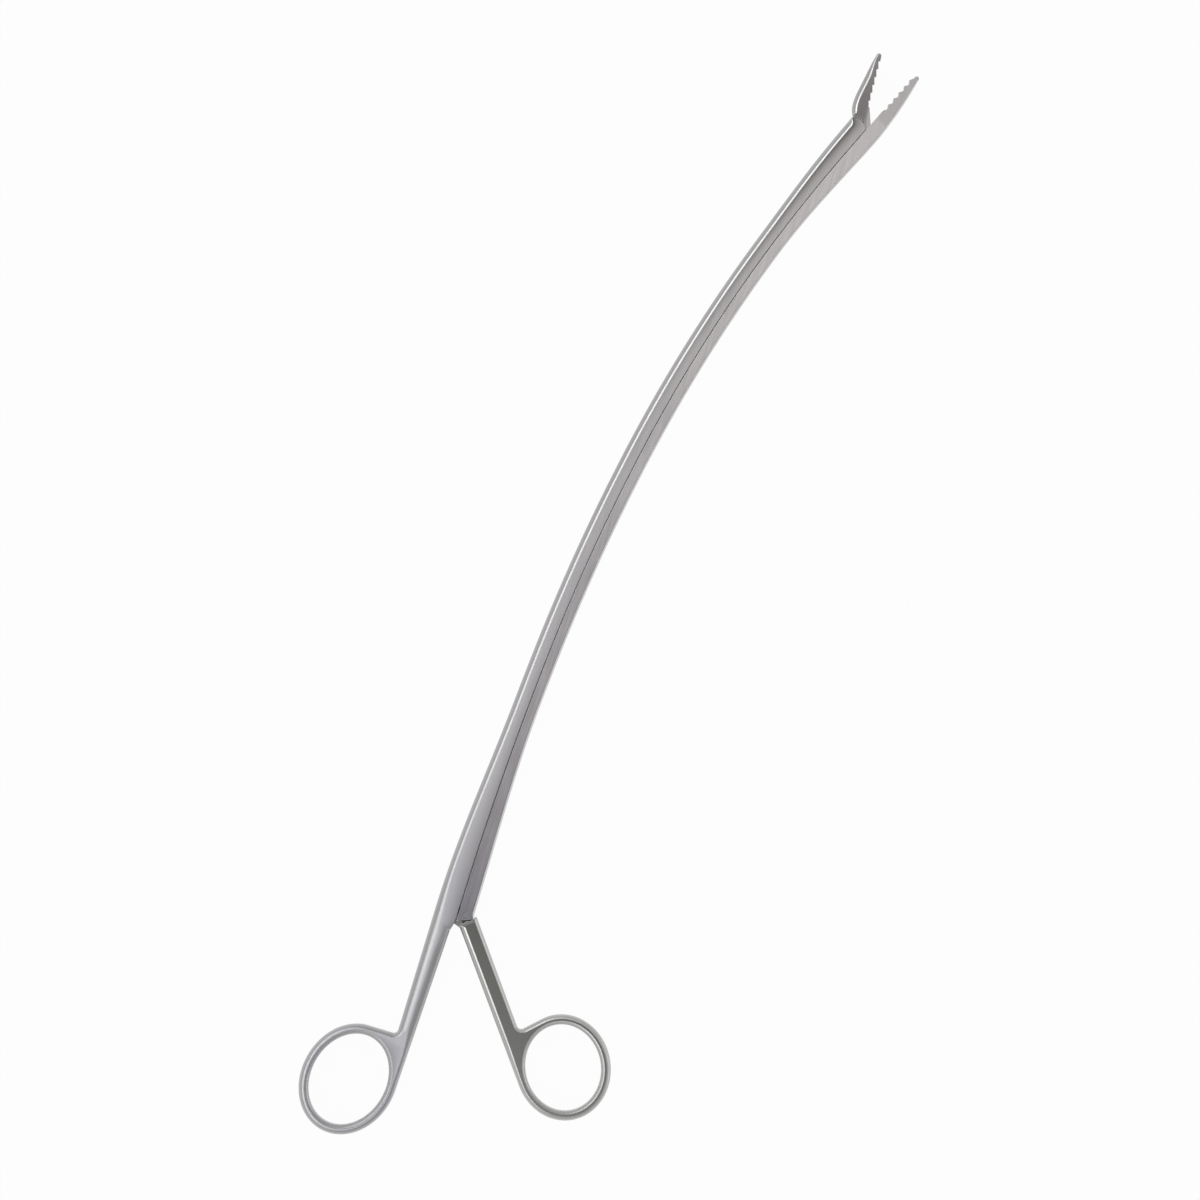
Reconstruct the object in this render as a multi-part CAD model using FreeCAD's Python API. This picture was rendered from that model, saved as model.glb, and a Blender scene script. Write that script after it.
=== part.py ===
import FreeCAD, Part
import math
import os

V = FreeCAD.Vector
UP = V(0, 0, 1)

# A curved passer with a sliding bar, lying flat on its underside with its jaws open.
# Millimetres. +X runs forward along the start of the seam between the two bars,
# +Y points to the outer side of the curve and Z = 0 is the underside.

# Seam between the bars: where it starts, then the length and radius of each arc,
# each turning towards the inner side, and a straight end under the jaw joint
THICKNESS = 5.6
SEAM_START = V(-12.0, -3.1, 0)
SEAM_ARCS = ((80.0, 968.0), (60.0, 588.0), (104.5, 447.0))
SEAM_STRAIGHT = 10.0
SEAM_GAP = 0.2

# Widths of the two bars, flared at both ends
OUTER_ROOT_WIDTH = 6.4
OUTER_WAIST_WIDTH = 4.2
OUTER_END_WIDTH = 5.2
OUTER_BEVEL = 1.1
INNER_ROOT_WIDTH = 4.7
INNER_WAIST_WIDTH = 3.2
INNER_END_WIDTH = 4.5
INNER_BEVEL = 0.6
ROOT_FLARE = 65.0
END_FLARE = 45.0
EDGE_STATIONS = 9

# Motion from open to closed, in millimetres and degrees
SLIDE_TRAVEL = 2.1
HANDLE_SWING = 28.5
JAW_SWING = 26.6

# Hinge pins and the tongues that turn on them between two cheeks
PIN_RADIUS = 0.75
PIN_RECESS = 0.05
PRESS_CLEARANCE = 0.01
RUNNING_CLEARANCE = 0.04
OPEN_PIVOT_PLAY = 0.1
OPEN_PIVOT_DRIFT = 0.1
TONGUE_THICKNESS = 2.0
TONGUE_SIDE_CLEARANCE = 0.05
TONGUE_EYE = 1.5
TONGUE_EDGE_CLEARANCE = 0.2

# Slots for the tongues: reach from the pin, spare degrees past the tongue's swing,
# and how far the middle of the fan bulges
SLOT_REACH = 8.0
SLOT_SPARE = 3.0
SLOT_BULGE = 1.3
HEEL_SLOT_SPARE = 20.0
JAW_SLOT_SPARE = 1.5

# Blocks that hollow the handle's head: ahead of and behind the joint, and outwards
HEAD_CUT_AHEAD = 20.0
HEAD_CUT_BEHIND = 30.0
HEAD_CUT_OUT = 9.0

# Handle joint: the fixed pivot in the outer bar from the seam start, the heel of
# the outer bar, and the slanted end of the inner bar
PIVOT_BACK = 0.25
PIVOT_FROM_SEAM = 1.75
HEEL_BACK = 2.3
HEEL_STEP = 0.6
HEEL_STEP_LENGTH = 2.3
BAR_END_BACK = 1.45
BAR_END_SLANT = 19.0
BAR_END_ROUND = 1.4
JOINT_GAP = 0.25

# Jaw joint, back from the seam end and out from the seam, with a round knuckle
JAW_PIVOT_BACK = 2.7
JAW_PIVOT_FROM_SEAM = 1.78
KNUCKLE_RADIUS = 3.85
KNUCKLE_GAP = 0.25
JAW_TONGUE_REACH = 8.5
JAW_TONGUE_ANGLE = 41.2
JAW_TONGUE_TIP = 1.0

# Jaws. Places are (forward of the seam end, away from the bite line) when closed.
JAW_TIP_THICKNESS = 3.0
JAW_NOSE = 0.7
JAW_BEVEL = 1.0
FIXED_JAW_LENGTH = 20.2
JAW_TAPER_START = 3.6
FIXED_JAW_BACK = (9.5, 3.8)
FIXED_JAW_DROOP = 1.5
MOVING_JAW_LENGTH = 21.65
MOVING_JAW_HEEL = 3.4
MOVING_JAW_BACK = ((4.5, 4.2), (10.2, 3.75), (16.2, 2.45))
MOVING_JAW_RISE = 0.5
TOOTH_COUNT = 6
TOOTH_PITCH = 2.3
FIXED_FIRST_TOOTH = 6.35
FIXED_TOOTH_RUN = 1.15
FIXED_TOOTH_DEPTH = 0.72
MOVING_FIRST_TOOTH = 8.1
MOVING_TOOTH_RUN = 2.05
MOVING_TOOTH_DEPTH = 0.5
TOOTH_MESH = 0.05
BITE_CLEARANCE = 0.1

# Shanks and finger rings. A ring is an ellipse: centre, inner half axes and turn.
RING_BAND = 2.8
RING_BEVEL = 0.9
RING_OVERLAP = 0.3
FIXED_RING = (V(-65.4, 12.7, 0), (13.5, 10.7), -12.0)
MOVING_RING = (V(-44.5, -44.6, 0), (12.3, 10.7), 27.0)
MOVING_SHANK_TURN = 37.2
MOVING_SHANK_WIDTH = 5.5
MOVING_SHANK_FRONT = 1.6
MOVING_SHANK_BACK = 4.0
MOVING_TONGUE_REACH = 4.5
SHANK_BEVEL = 1.1

# Crooks, each short of its ring's centre by this much along its shank
CROOK_RADIUS = 1.3
FIXED_CROOK_SHORT = 16.2
MOVING_CROOK_SHORT = 14.0737

# Guide studs: pressed in the outer bar, with heads that run in the inner bar
GUIDE_PLACES = (("proximal", 36.0), ("middle", 125.0), ("distal", 214.0))
GUIDE_SHANK_RADIUS = 1.1
GUIDE_SHANK_DEPTH = 2.4
GUIDE_NECK_RADIUS = 0.75
GUIDE_HEAD_RADIUS = 1.3
GUIDE_HEAD_THICKNESS = 0.7
GUIDE_LIP = 0.7
GUIDE_CLEARANCE = 0.12

os.makedirs("parts", exist_ok=True)


# Plan geometry

def turned(point, centre, degrees):
    """The point turned about a vertical axis through centre."""
    return centre + FreeCAD.Rotation(UP, degrees).multVec(point - centre)


def heading(degrees):
    """Unit vector in the plan at this angle from +X."""
    return V(math.cos(math.radians(degrees)), math.sin(math.radians(degrees)), 0)


def angle_of(direction):
    """Angle in degrees of a plan direction from +X."""
    return math.degrees(math.atan2(direction.y, direction.x))


def line(start, end):
    """Straight edge."""
    return Part.LineSegment(start, end).toShape()


def arc(start, middle, end):
    """Round edge through three points."""
    return Part.Arc(start, middle, end).toShape()


def spline(points):
    """Smooth edge through the points."""
    curve = Part.BSplineCurve()
    curve.interpolate(points)
    return curve.toShape()


def polyline(points):
    """Straight edges from point to point."""
    return [line(a, b) for a, b in zip(points, points[1:])]


def prism(edges, low=0.0, high=THICKNESS):
    """Solid between two heights above a closed plan outline."""
    face = Part.Face(Part.Wire(edges))
    solid = face.extrude(UP * (high - low))
    solid.translate(UP * low)
    return solid


def polygon(points, low=0.0, high=THICKNESS):
    """Straight-sided plate between two heights."""
    return prism(polyline(points + points[:1]), low, high)


def disc(centre, radius, low=0.0, high=THICKNESS):
    """Upright cylinder between two heights."""
    return Part.makeCylinder(radius, high - low, centre + UP * low)


def fused(shapes):
    """One solid from several, with no leftover seams."""
    return shapes[0].multiFuse(shapes[1:]).removeSplitter()


def spun(shape, centre, degrees):
    """A copy of the shape turned about a vertical axis through centre."""
    copy = shape.copy()
    copy.rotate(centre, UP, degrees)
    return copy


def skirt(inside, inside_height, outside, outside_height):
    """Sloping-sided solid between two like outlines at two heights."""
    wires = []
    for edges, height in ((inside, inside_height), (outside, outside_height)):
        wire = Part.Wire(edges)
        wire.translate(UP * height)
        wires.append(wire)
    return Part.makeLoft(wires, True, True)


def bevelled(outline, bevel):
    """Full-thickness solid of outline(0), drawn in to outline(bevel) at both faces."""
    full, inset = outline(0.0), outline(bevel)
    return fused([prism(full, bevel, THICKNESS - bevel),
                  skirt(full, bevel, inset, 0.0),
                  skirt(full, THICKNESS - bevel, inset, THICKNESS)])


def thinned(solid, origin, turn, near, far, drop):
    """The solid thinned evenly from both faces, from near to far along a direction."""
    reach = 2 * far
    above = [(near, THICKNESS), (far, THICKNESS - drop), (reach, THICKNESS - drop),
             (reach, THICKNESS + 1), (near, THICKNESS + 1)]
    for profile in (above, [(x, THICKNESS - z) for x, z in above]):
        points = [V(x, -far, z) for x, z in profile]
        face = Part.Face(Part.Wire(polyline(points + points[:1])))
        wedge = face.extrude(V(0, 2 * far, 0))
        wedge.rotate(V(0, 0, 0), UP, turn)
        wedge.translate(origin)
        solid = solid.cut(wedge)
    return solid


# The seam and the edges of the bars beside it

SEAM_LENGTH = sum(length for length, radius in SEAM_ARCS) + SEAM_STRAIGHT


def seam_at(distance):
    """Point and direction in degrees at a distance along the seam."""
    point = SEAM_START
    turn = 0.0
    left = distance
    for length, radius in SEAM_ARCS:
        step = min(max(left, 0.0), length)
        after = turn - step / radius
        point = point + V(math.sin(turn) - math.sin(after),
                          math.cos(after) - math.cos(turn), 0) * radius
        turn = after
        left -= step
    return point + heading(math.degrees(turn)) * left, math.degrees(turn)


def beside_seam(distance, offset):
    """Point at this distance along the seam, moved to its outer side by offset."""
    point, turn = seam_at(distance)
    return point + heading(turn + 90) * offset


def seam_edges(start, end, offset):
    """The seam from start to end as arcs and straight ends, moved sideways by offset."""
    edges = []
    low = 0.0
    if start < low:
        edges.append(line(beside_seam(start, offset), beside_seam(low, offset)))
    for length, radius in SEAM_ARCS:
        high = low + length
        first, last = max(low, start), min(high, end)
        if last > first:
            edges.append(arc(beside_seam(first, offset),
                             beside_seam((first + last) / 2, offset),
                             beside_seam(last, offset)))
        low = high
    if end > low:
        edges.append(line(beside_seam(low, offset), beside_seam(end, offset)))
    return edges


def flared(distance, root, waist, end):
    """Width of a bar at a distance along the seam: a waist with a flare at each end."""
    near = min(max(distance / ROOT_FLARE, 0.0), 1.0)
    far = min(max((SEAM_LENGTH - distance) / END_FLARE, 0.0), 1.0)
    return (waist + (root - waist) * (1 + math.cos(math.pi * near)) / 2
            + (end - waist) * (1 + math.cos(math.pi * far)) / 2)


def outer_edge(distance, inset):
    """Point on the outer bar's outer edge, drawn in by inset."""
    width = flared(distance, OUTER_ROOT_WIDTH, OUTER_WAIST_WIDTH, OUTER_END_WIDTH)
    return beside_seam(distance, width - inset)


def inner_edge(distance, inset):
    """Point on the inner bar's inner edge, drawn in by inset."""
    width = flared(distance, INNER_ROOT_WIDTH, INNER_WAIST_WIDTH, INNER_END_WIDTH)
    return beside_seam(distance, inset - width)


# Pin places. Each arm stands square to the slide when the jaws are half closed.

def arm_length(swing):
    """Distance between a lever's pins that moves the bar by its travel."""
    return SLIDE_TRAVEL / (2 * math.sin(math.radians(swing / 2)))


SEAM_END, BITE = seam_at(SEAM_LENGTH)
HANDLE_PIVOT = beside_seam(-PIVOT_BACK, PIVOT_FROM_SEAM)
HANDLE_DRIVE = HANDLE_PIVOT + heading(HANDLE_SWING / 2 - 90) * arm_length(HANDLE_SWING)
JAW_PIVOT = beside_seam(SEAM_LENGTH - JAW_PIVOT_BACK, -JAW_PIVOT_FROM_SEAM)
JAW_DRIVE = JAW_PIVOT + heading(BITE + 90 + JAW_SWING / 2) * arm_length(JAW_SWING)
JAW_DRIVE_CLOSED = turned(JAW_DRIVE, JAW_PIVOT, -JAW_SWING)


def bite(forward, out):
    """Point ahead of the seam end and out from the bite line."""
    return SEAM_END + heading(BITE) * forward + heading(BITE + 90) * out


def knuckle_forward(centre, radius, out):
    """How far ahead of the seam end a knuckle reaches at this distance from the seam."""
    from_end = centre - SEAM_END
    rise = out - from_end.dot(heading(BITE + 90))
    return from_end.dot(heading(BITE)) + math.sqrt(radius ** 2 - rise ** 2)


# Tongues, and the slots that they turn in, at half thickness

TONGUE_LOW = (THICKNESS - TONGUE_THICKNESS) / 2
TONGUE_HIGH = TONGUE_LOW + TONGUE_THICKNESS
SLOT_LOW = TONGUE_LOW - TONGUE_SIDE_CLEARANCE
SLOT_HIGH = TONGUE_HIGH + TONGUE_SIDE_CLEARANCE
SLOT_RADIUS = TONGUE_EYE + TONGUE_EDGE_CLEARANCE


def strap(a, radius_a, b, radius_b):
    """Straight-sided plate between two round eyes."""
    along = b - a
    tilt = math.degrees(math.acos((radius_a - radius_b) / along.Length))
    base = angle_of(along)
    return polygon([a + heading(base + tilt) * radius_a, b + heading(base + tilt) * radius_b,
                    b + heading(base - tilt) * radius_b, a + heading(base - tilt) * radius_a],
                   TONGUE_LOW, TONGUE_HIGH)


def tongue(pivot, drive, tip, tip_radius):
    """Flat three-cornered plate with an eye at each pin and a round tip in its lever."""
    return fused([disc(pivot, TONGUE_EYE, TONGUE_LOW, TONGUE_HIGH),
                  disc(drive, TONGUE_EYE, TONGUE_LOW, TONGUE_HIGH),
                  disc(tip, tip_radius, TONGUE_LOW, TONGUE_HIGH),
                  strap(pivot, TONGUE_EYE, drive, TONGUE_EYE),
                  strap(pivot, TONGUE_EYE, tip, tip_radius),
                  strap(drive, TONGUE_EYE, tip, tip_radius),
                  polygon([pivot, drive, tip], TONGUE_LOW, TONGUE_HIGH)])


def slot(centre, first, last, reach):
    """Room for a tongue that points from centre at every angle from first to last."""
    start = centre + heading(first - 90) * SLOT_RADIUS
    end = centre + heading(last + 90) * SLOT_RADIUS
    middle = (first + last) / 2
    fan = [centre, start, start + heading(first) * reach]
    fan.append(centre + heading((first + middle) / 2) * reach * SLOT_BULGE)
    fan.append(centre + heading((middle + last) / 2) * reach * SLOT_BULGE)
    fan.extend([end + heading(last) * reach, end])
    return fused([polygon(fan, SLOT_LOW, SLOT_HIGH),
                  disc(centre, SLOT_RADIUS, SLOT_LOW, SLOT_HIGH)])


def pin_bore(centre):
    """Bore that holds a pin fast in the two cheeks."""
    return disc(centre, PIN_RADIUS + PRESS_CLEARANCE)


def running_bore(centre):
    """Bore that turns on a pin."""
    return disc(centre, PIN_RADIUS + RUNNING_CLEARANCE)


def open_bore(pivot, drive):
    """Oblong eye along the lever, for the drive pin's small drift from its arc."""
    radius = PIN_RADIUS + OPEN_PIVOT_PLAY
    arm = (drive - pivot).Length
    nearest = math.sqrt(arm ** 2 - (SLIDE_TRAVEL / 2) ** 2)
    along = (drive - pivot).normalize()
    inner = pivot + along * (nearest - OPEN_PIVOT_DRIFT)
    outer = drive + along * OPEN_PIVOT_DRIFT
    side = heading(angle_of(along) + 90) * radius
    return fused([disc(inner, radius), disc(outer, radius),
                  polygon([inner + side, outer + side, outer - side, inner - side])])


# Shanks and finger rings

def ellipse(ring, grow):
    """Closed edge of a finger ring, grown outwards from the finger hole."""
    centre, axes, turn = ring
    edge = Part.Ellipse(centre, axes[0] + grow, axes[1] + grow).toShape()
    edge.rotate(centre, UP, turn)
    return edge


def ring_touch(ring, point, side):
    """Where a line from point just runs into the outside of a ring, on side 1 or -1."""
    centre, axes, turn = ring
    band = RING_BAND - RING_OVERLAP
    long_axis, short_axis = axes[0] + band, axes[1] + band
    local = turned(point, centre, -turn) - centre
    u, v = local.x / long_axis, local.y / short_axis
    angle = math.atan2(v, u) + side * math.acos(1 / math.hypot(u, v))
    touch = centre + V(long_axis * math.cos(angle), short_axis * math.sin(angle), 0)
    return turned(touch, centre, turn)


def web(ring, corner, out, side, inset):
    """Rounded crook of a shank edge at corner, and the web from there to the ring."""
    touch = ring_touch(ring, corner, side)
    across = heading(angle_of(touch - corner) - 90 * side)
    middle = (out + across).normalize()
    radius = CROOK_RADIUS + inset
    centre = corner + middle * (CROOK_RADIUS / out.dot(middle))
    bend = arc(centre - out * radius, centre - middle * radius, centre - across * radius)
    return bend, touch - across * inset


def finger_ring(shank, ring):
    """A bevelled shank joined to its bevelled ring, with the finger hole cut."""
    whole = fused([shank, bevelled(lambda inset: [ellipse(ring, RING_BAND - inset)],
                                   SHANK_BEVEL)])
    bore, flare = [ellipse(ring, 0.0)], [ellipse(ring, RING_BEVEL)]
    return whole.cut([prism(bore),
                      skirt(bore, RING_BEVEL, flare, 0.0),
                      skirt(bore, THICKNESS - RING_BEVEL, flare, THICKNESS)])


# Outer bar, with the fixed shank and its ring: one forging

def outer_outline(inset):
    """Plan outline of the outer bar and its shank, drawn in except along the joints."""
    width = OUTER_END_WIDTH - inset
    foot_along = SEAM_LENGTH + knuckle_forward(JAW_DRIVE, KNUCKLE_RADIUS, 0)
    tip_along = SEAM_LENGTH + knuckle_forward(JAW_DRIVE, KNUCKLE_RADIUS, width)
    foot, tip = beside_seam(foot_along, 0), beside_seam(tip_along, width)
    middle_angle = (angle_of(foot - JAW_DRIVE) + angle_of(tip - JAW_DRIVE)) / 2
    knuckle = arc(foot, JAW_DRIVE + heading(middle_angle) * KNUCKLE_RADIUS, tip)

    crook_back = SEAM_START.x - FIXED_RING[0].x - FIXED_CROOK_SHORT
    corner = beside_seam(-crook_back, OUTER_ROOT_WIDTH)
    bend, web_end = web(FIXED_RING, corner, V(0, 1, 0), 1, inset)
    start, end = bend.Vertexes[0].Point, bend.Vertexes[-1].Point
    root = outer_edge(0, inset)
    step = tip_along / EDGE_STATIONS
    edge = [tip] + [outer_edge(step * i, inset) for i in range(EDGE_STATIONS - 1, 0, -1)]
    edge.extend([root, root * 0.7 + start * 0.3, root * 0.3 + start * 0.7, start])

    heel = beside_seam(-HEEL_BACK, 0)
    facing = heel + V(-HEEL_STEP_LENGTH, HEEL_STEP, 0)
    touch = ring_touch(FIXED_RING, facing, -1)
    inward = heading(angle_of(touch - facing) - 90) * inset
    outline = seam_edges(-HEEL_BACK, foot_along, 0)
    outline.extend([knuckle, spline(edge), bend])
    outline.extend(polyline([end, web_end, FIXED_RING[0], touch + inward, facing + inward,
                             heel]))
    return outline


def outer_bar():
    """Outer bar and ring, slotted for both tongues and bored for pins and studs."""
    bar = finger_ring(bevelled(outer_outline, OUTER_BEVEL), FIXED_RING)
    swing_end = 180 + MOVING_SHANK_TURN - HANDLE_SWING
    bar = bar.cut(slot(HANDLE_PIVOT, swing_end + HEEL_SLOT_SPARE,
                       270 + HANDLE_SWING / 2 + SLOT_SPARE, SLOT_REACH))
    bar = bar.cut(slot(JAW_DRIVE, BITE - 90 - SLOT_SPARE - JAW_SWING / 2, BITE + JAW_SWING,
                       SLOT_REACH))
    for pin in (HANDLE_PIVOT, JAW_DRIVE):
        bar = bar.cut(pin_bore(pin))
    for name, place in GUIDE_PLACES:
        hole = Part.makeCylinder(GUIDE_SHANK_RADIUS + PRESS_CLEARANCE,
                                 GUIDE_SHANK_DEPTH + SEAM_GAP)
        bar = bar.cut(at_guide(place, hole, -GUIDE_SHANK_DEPTH - PRESS_CLEARANCE))
    return bar


# Guide studs and their keyhole slots

def at_guide(place, shape, depth):
    """A shape made about the origin, set at a guide with its +Z pointing inwards."""
    point, turn = seam_at(place)
    placed = shape.copy()
    placed.translate(UP * depth)
    turn_to = FreeCAD.Rotation(heading(turn), UP, heading(turn - 90), "ZXY")
    placed.Placement = FreeCAD.Placement(point + UP * (THICKNESS / 2), turn_to).multiply(
        placed.Placement)
    return placed


def guide_stud(place):
    """Turned stud: shank, neck across the seam and a flat head."""
    neck_end = SEAM_GAP + GUIDE_LIP + GUIDE_CLEARANCE
    head_end = neck_end + GUIDE_HEAD_THICKNESS
    profile = [(0, -GUIDE_SHANK_DEPTH), (GUIDE_SHANK_RADIUS, -GUIDE_SHANK_DEPTH),
               (GUIDE_SHANK_RADIUS, 0), (GUIDE_NECK_RADIUS, 0), (GUIDE_NECK_RADIUS, neck_end),
               (GUIDE_HEAD_RADIUS, neck_end), (GUIDE_HEAD_RADIUS, head_end), (0, head_end)]
    points = [V(radius, 0, height) for radius, height in profile]
    face = Part.Face(Part.Wire(polyline(points + points[:1])))
    return at_guide(place, face.revolve(V(0, 0, 0), UP, 360), 0)


def run(radius, start, end, depth):
    """Round-ended slot along local X, cut straight in along local Z."""
    box = Part.makeBox(end - start, 2 * radius, depth, V(start, -radius, 0))
    return fused([box, Part.makeCylinder(radius, depth, V(start, 0, 0)),
                  Part.makeCylinder(radius, depth, V(end, 0, 0))])


def guide_slot(place):
    """Keyhole slot: the head enters at its near end and then runs behind two lips."""
    head = GUIDE_HEAD_RADIUS + GUIDE_CLEARANCE
    neck = GUIDE_NECK_RADIUS + GUIDE_CLEARANCE
    entry = -2 * head - GUIDE_CLEARANCE
    last = SLIDE_TRAVEL + GUIDE_CLEARANCE
    lip = SEAM_GAP + GUIDE_LIP
    deep = GUIDE_HEAD_THICKNESS + 2 * GUIDE_CLEARANCE
    return [at_guide(place, run(neck, entry, last, lip + deep), 0),
            at_guide(place, run(head, entry, last, deep), lip),
            at_guide(place, Part.makeCylinder(head, lip + deep, V(entry, 0, 0)), 0)]


# Inner bar, with the fixed jaw at its end

def fixed_jaw_teeth():
    """Bite line of the fixed jaw, from its first tooth to its nose."""
    points = []
    for i in range(TOOTH_COUNT):
        tip = FIXED_FIRST_TOOTH + TOOTH_PITCH * i
        points.append((tip, -SEAM_GAP))
        points.append((tip + FIXED_TOOTH_RUN, -SEAM_GAP - FIXED_TOOTH_DEPTH))
    points[-1] = (tip + FIXED_TOOTH_RUN, JAW_NOSE - FIXED_JAW_DROOP)
    points.append((FIXED_JAW_LENGTH - JAW_NOSE, JAW_NOSE - FIXED_JAW_DROOP))
    return [bite(forward, out) for forward, out in points]


def inner_outline(inset):
    """Plan outline of the inner bar and the fixed jaw, drawn in along its inner edge."""
    ahead = heading(BAR_END_SLANT)
    end_seam = beside_seam(-BAR_END_BACK, -SEAM_GAP)
    centre = bar_end_round()
    end_round = arc(centre - ahead * BAR_END_ROUND,
                    centre + heading(225 + BAR_END_SLANT / 2) * (BAR_END_ROUND - inset / 2),
                    centre - V(0, BAR_END_ROUND - inset, 0))
    edge_start = centre.x - SEAM_START.x
    step = (SEAM_LENGTH - edge_start) / EDGE_STATIONS
    edge = [inner_edge(edge_start + step * i, inset) for i in range(1, EDGE_STATIONS + 1)]
    edge.insert(0, end_round.Vertexes[-1].Point)

    teeth = fixed_jaw_teeth()
    nose = bite(FIXED_JAW_LENGTH - JAW_NOSE, -FIXED_JAW_DROOP)
    nose_radius = JAW_NOSE - inset / 2
    under = nose + heading(BITE - 100) * nose_radius
    outline = seam_edges(-BAR_END_BACK, SEAM_LENGTH + FIXED_FIRST_TOOTH, -SEAM_GAP)
    outline.extend(polyline(teeth))
    outline.append(arc(teeth[-1], nose + heading(BITE) * nose_radius, under))
    outline.append(arc(under, bite(FIXED_JAW_BACK[0], inset - FIXED_JAW_BACK[1]), edge[-1]))
    outline.append(spline(edge[::-1]))
    outline.append(end_round)
    outline.append(line(centre - ahead * BAR_END_ROUND, end_seam))
    return outline


def inner_bar():
    """Inner bar with its jaw thinned, slotted for both tongues and for the studs."""
    bar = bevelled(inner_outline, INNER_BEVEL)
    drop = (THICKNESS - JAW_TIP_THICKNESS) / 2
    bar = thinned(bar, SEAM_END, BITE, JAW_TAPER_START, FIXED_JAW_LENGTH, drop)
    bar = bar.cut(slot(HANDLE_DRIVE, 90 - HANDLE_SWING / 2 - SLOT_SPARE,
                       180 + SLOT_SPARE + MOVING_SHANK_TURN, SLOT_REACH))
    end_slot = Part.makeBox(SLOT_REACH, 2 * SLOT_REACH, SLOT_HIGH - SLOT_LOW,
                            HANDLE_DRIVE + V(-SLOT_REACH, -SLOT_REACH, SLOT_LOW))
    bar = bar.cut(end_slot)
    bar = bar.cut(slot(JAW_PIVOT, BITE + JAW_TONGUE_ANGLE - JAW_SWING - SLOT_SPARE,
                       BITE + 90 + SLOT_SPARE + JAW_SWING / 2,
                       JAW_TONGUE_REACH + JAW_SLOT_SPARE))
    for pin in (HANDLE_DRIVE, JAW_PIVOT):
        bar = bar.cut(pin_bore(pin))
    for name, place in GUIDE_PLACES:
        for tool in guide_slot(place):
            bar = bar.cut(tool)
    return bar


# Moving jaw, drawn closed and then opened

def jaw_tongue_tip():
    """Centre of the tongue's tip in the moving jaw, in the open pose."""
    return JAW_PIVOT + heading(BITE + JAW_TONGUE_ANGLE) * JAW_TONGUE_REACH


def moving_jaw_outline(inset):
    """Plan outline of the moving jaw, closed, drawn in along its back."""
    base = KNUCKLE_RADIUS + KNUCKLE_GAP
    smooth = BITE_CLEARANCE - SEAM_GAP
    edge = -SEAM_GAP - TOOTH_MESH
    points = [bite(knuckle_forward(JAW_DRIVE_CLOSED, base, smooth), smooth)]
    for i in range(TOOTH_COUNT):
        tip = MOVING_FIRST_TOOTH + TOOTH_PITCH * i
        valley = tip - TOOTH_PITCH + MOVING_TOOTH_RUN
        if i == 0:
            points.append(bite(valley - 1, smooth))
        points.append(bite(valley, edge + MOVING_TOOTH_DEPTH))
        points.append(bite(tip, edge))
    points.append(bite(tip + 1, MOVING_JAW_RISE - JAW_NOSE))
    nose = bite(MOVING_JAW_LENGTH - JAW_NOSE, MOVING_JAW_RISE)
    points.append(nose - heading(BITE + 90) * JAW_NOSE)
    nose_radius = JAW_NOSE - inset / 2
    top = nose + heading(BITE + 80) * nose_radius
    heel_out = MOVING_JAW_HEEL - inset
    heel = bite(knuckle_forward(JAW_DRIVE_CLOSED, base, heel_out), heel_out)
    back = [bite(forward, out - inset) for forward, out in MOVING_JAW_BACK[::-1]]
    middle_angle = (angle_of(heel - JAW_DRIVE_CLOSED)
                    + angle_of(points[0] - JAW_DRIVE_CLOSED)) / 2
    outline = polyline(points)
    outline.append(arc(points[-1], nose + heading(BITE) * nose_radius, top))
    outline.append(spline([top] + back + [heel]))
    outline.append(arc(heel, JAW_DRIVE_CLOSED + heading(middle_angle) * base, points[0]))
    return outline


def moving_jaw():
    """Moving jaw, opened about its pin, with its tongue."""
    jaw = bevelled(moving_jaw_outline, JAW_BEVEL)
    drop = (THICKNESS - JAW_TIP_THICKNESS) / 2
    jaw = thinned(jaw, SEAM_END, BITE, JAW_TAPER_START, MOVING_JAW_LENGTH, drop)
    jaw = spun(jaw, JAW_PIVOT, JAW_SWING)
    jaw = fused([jaw, tongue(JAW_PIVOT, JAW_DRIVE, jaw_tongue_tip(), JAW_TONGUE_TIP)])
    return jaw.cut(running_bore(JAW_PIVOT)).cut(open_bore(JAW_PIVOT, JAW_DRIVE))


# Moving handle

def bar_end_round():
    """Centre of the rounded inner corner of the inner bar's end."""
    ahead = heading(BAR_END_SLANT)
    start = beside_seam(-BAR_END_BACK, -SEAM_GAP) + ahead * BAR_END_ROUND
    drop = start.y - (SEAM_START.y - INNER_ROOT_WIDTH + BAR_END_ROUND)
    return start + heading(BAR_END_SLANT - 90) * (drop / ahead.x)


def bar_end(grow):
    """Block the shape of the inner bar's end, with room added all round."""
    ahead = heading(BAR_END_SLANT)
    centre = bar_end_round()
    radius = BAR_END_ROUND + grow
    slant = centre - ahead * radius
    under = centre - V(0, radius, 0)
    rise = SEAM_START.y + grow - slant.y
    seam_side = slant + heading(BAR_END_SLANT + 90) * (rise / ahead.x)
    bend = centre + heading(225 + BAR_END_SLANT / 2) * radius
    reach = V(HEAD_CUT_AHEAD, 0, 0)
    outline = polyline([under, under + reach, seam_side + reach, seam_side, slant])
    outline.append(arc(slant, bend, under))
    return prism(outline)


def heel_block(grow):
    """Block the shape of the outer bar's heel and shank, moved out by grow."""
    heel = beside_seam(-HEEL_BACK, -grow) + V(-grow, 0, 0)
    facing = heel + V(-HEEL_STEP_LENGTH, HEEL_STEP, 0)
    return polygon([heel + V(HEAD_CUT_AHEAD, 0, 0), heel + V(HEAD_CUT_AHEAD, HEAD_CUT_OUT, 0),
                    facing + V(-HEAD_CUT_BEHIND, HEAD_CUT_OUT, 0),
                    facing + V(-HEAD_CUT_BEHIND, HEEL_STEP, 0), facing])


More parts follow.
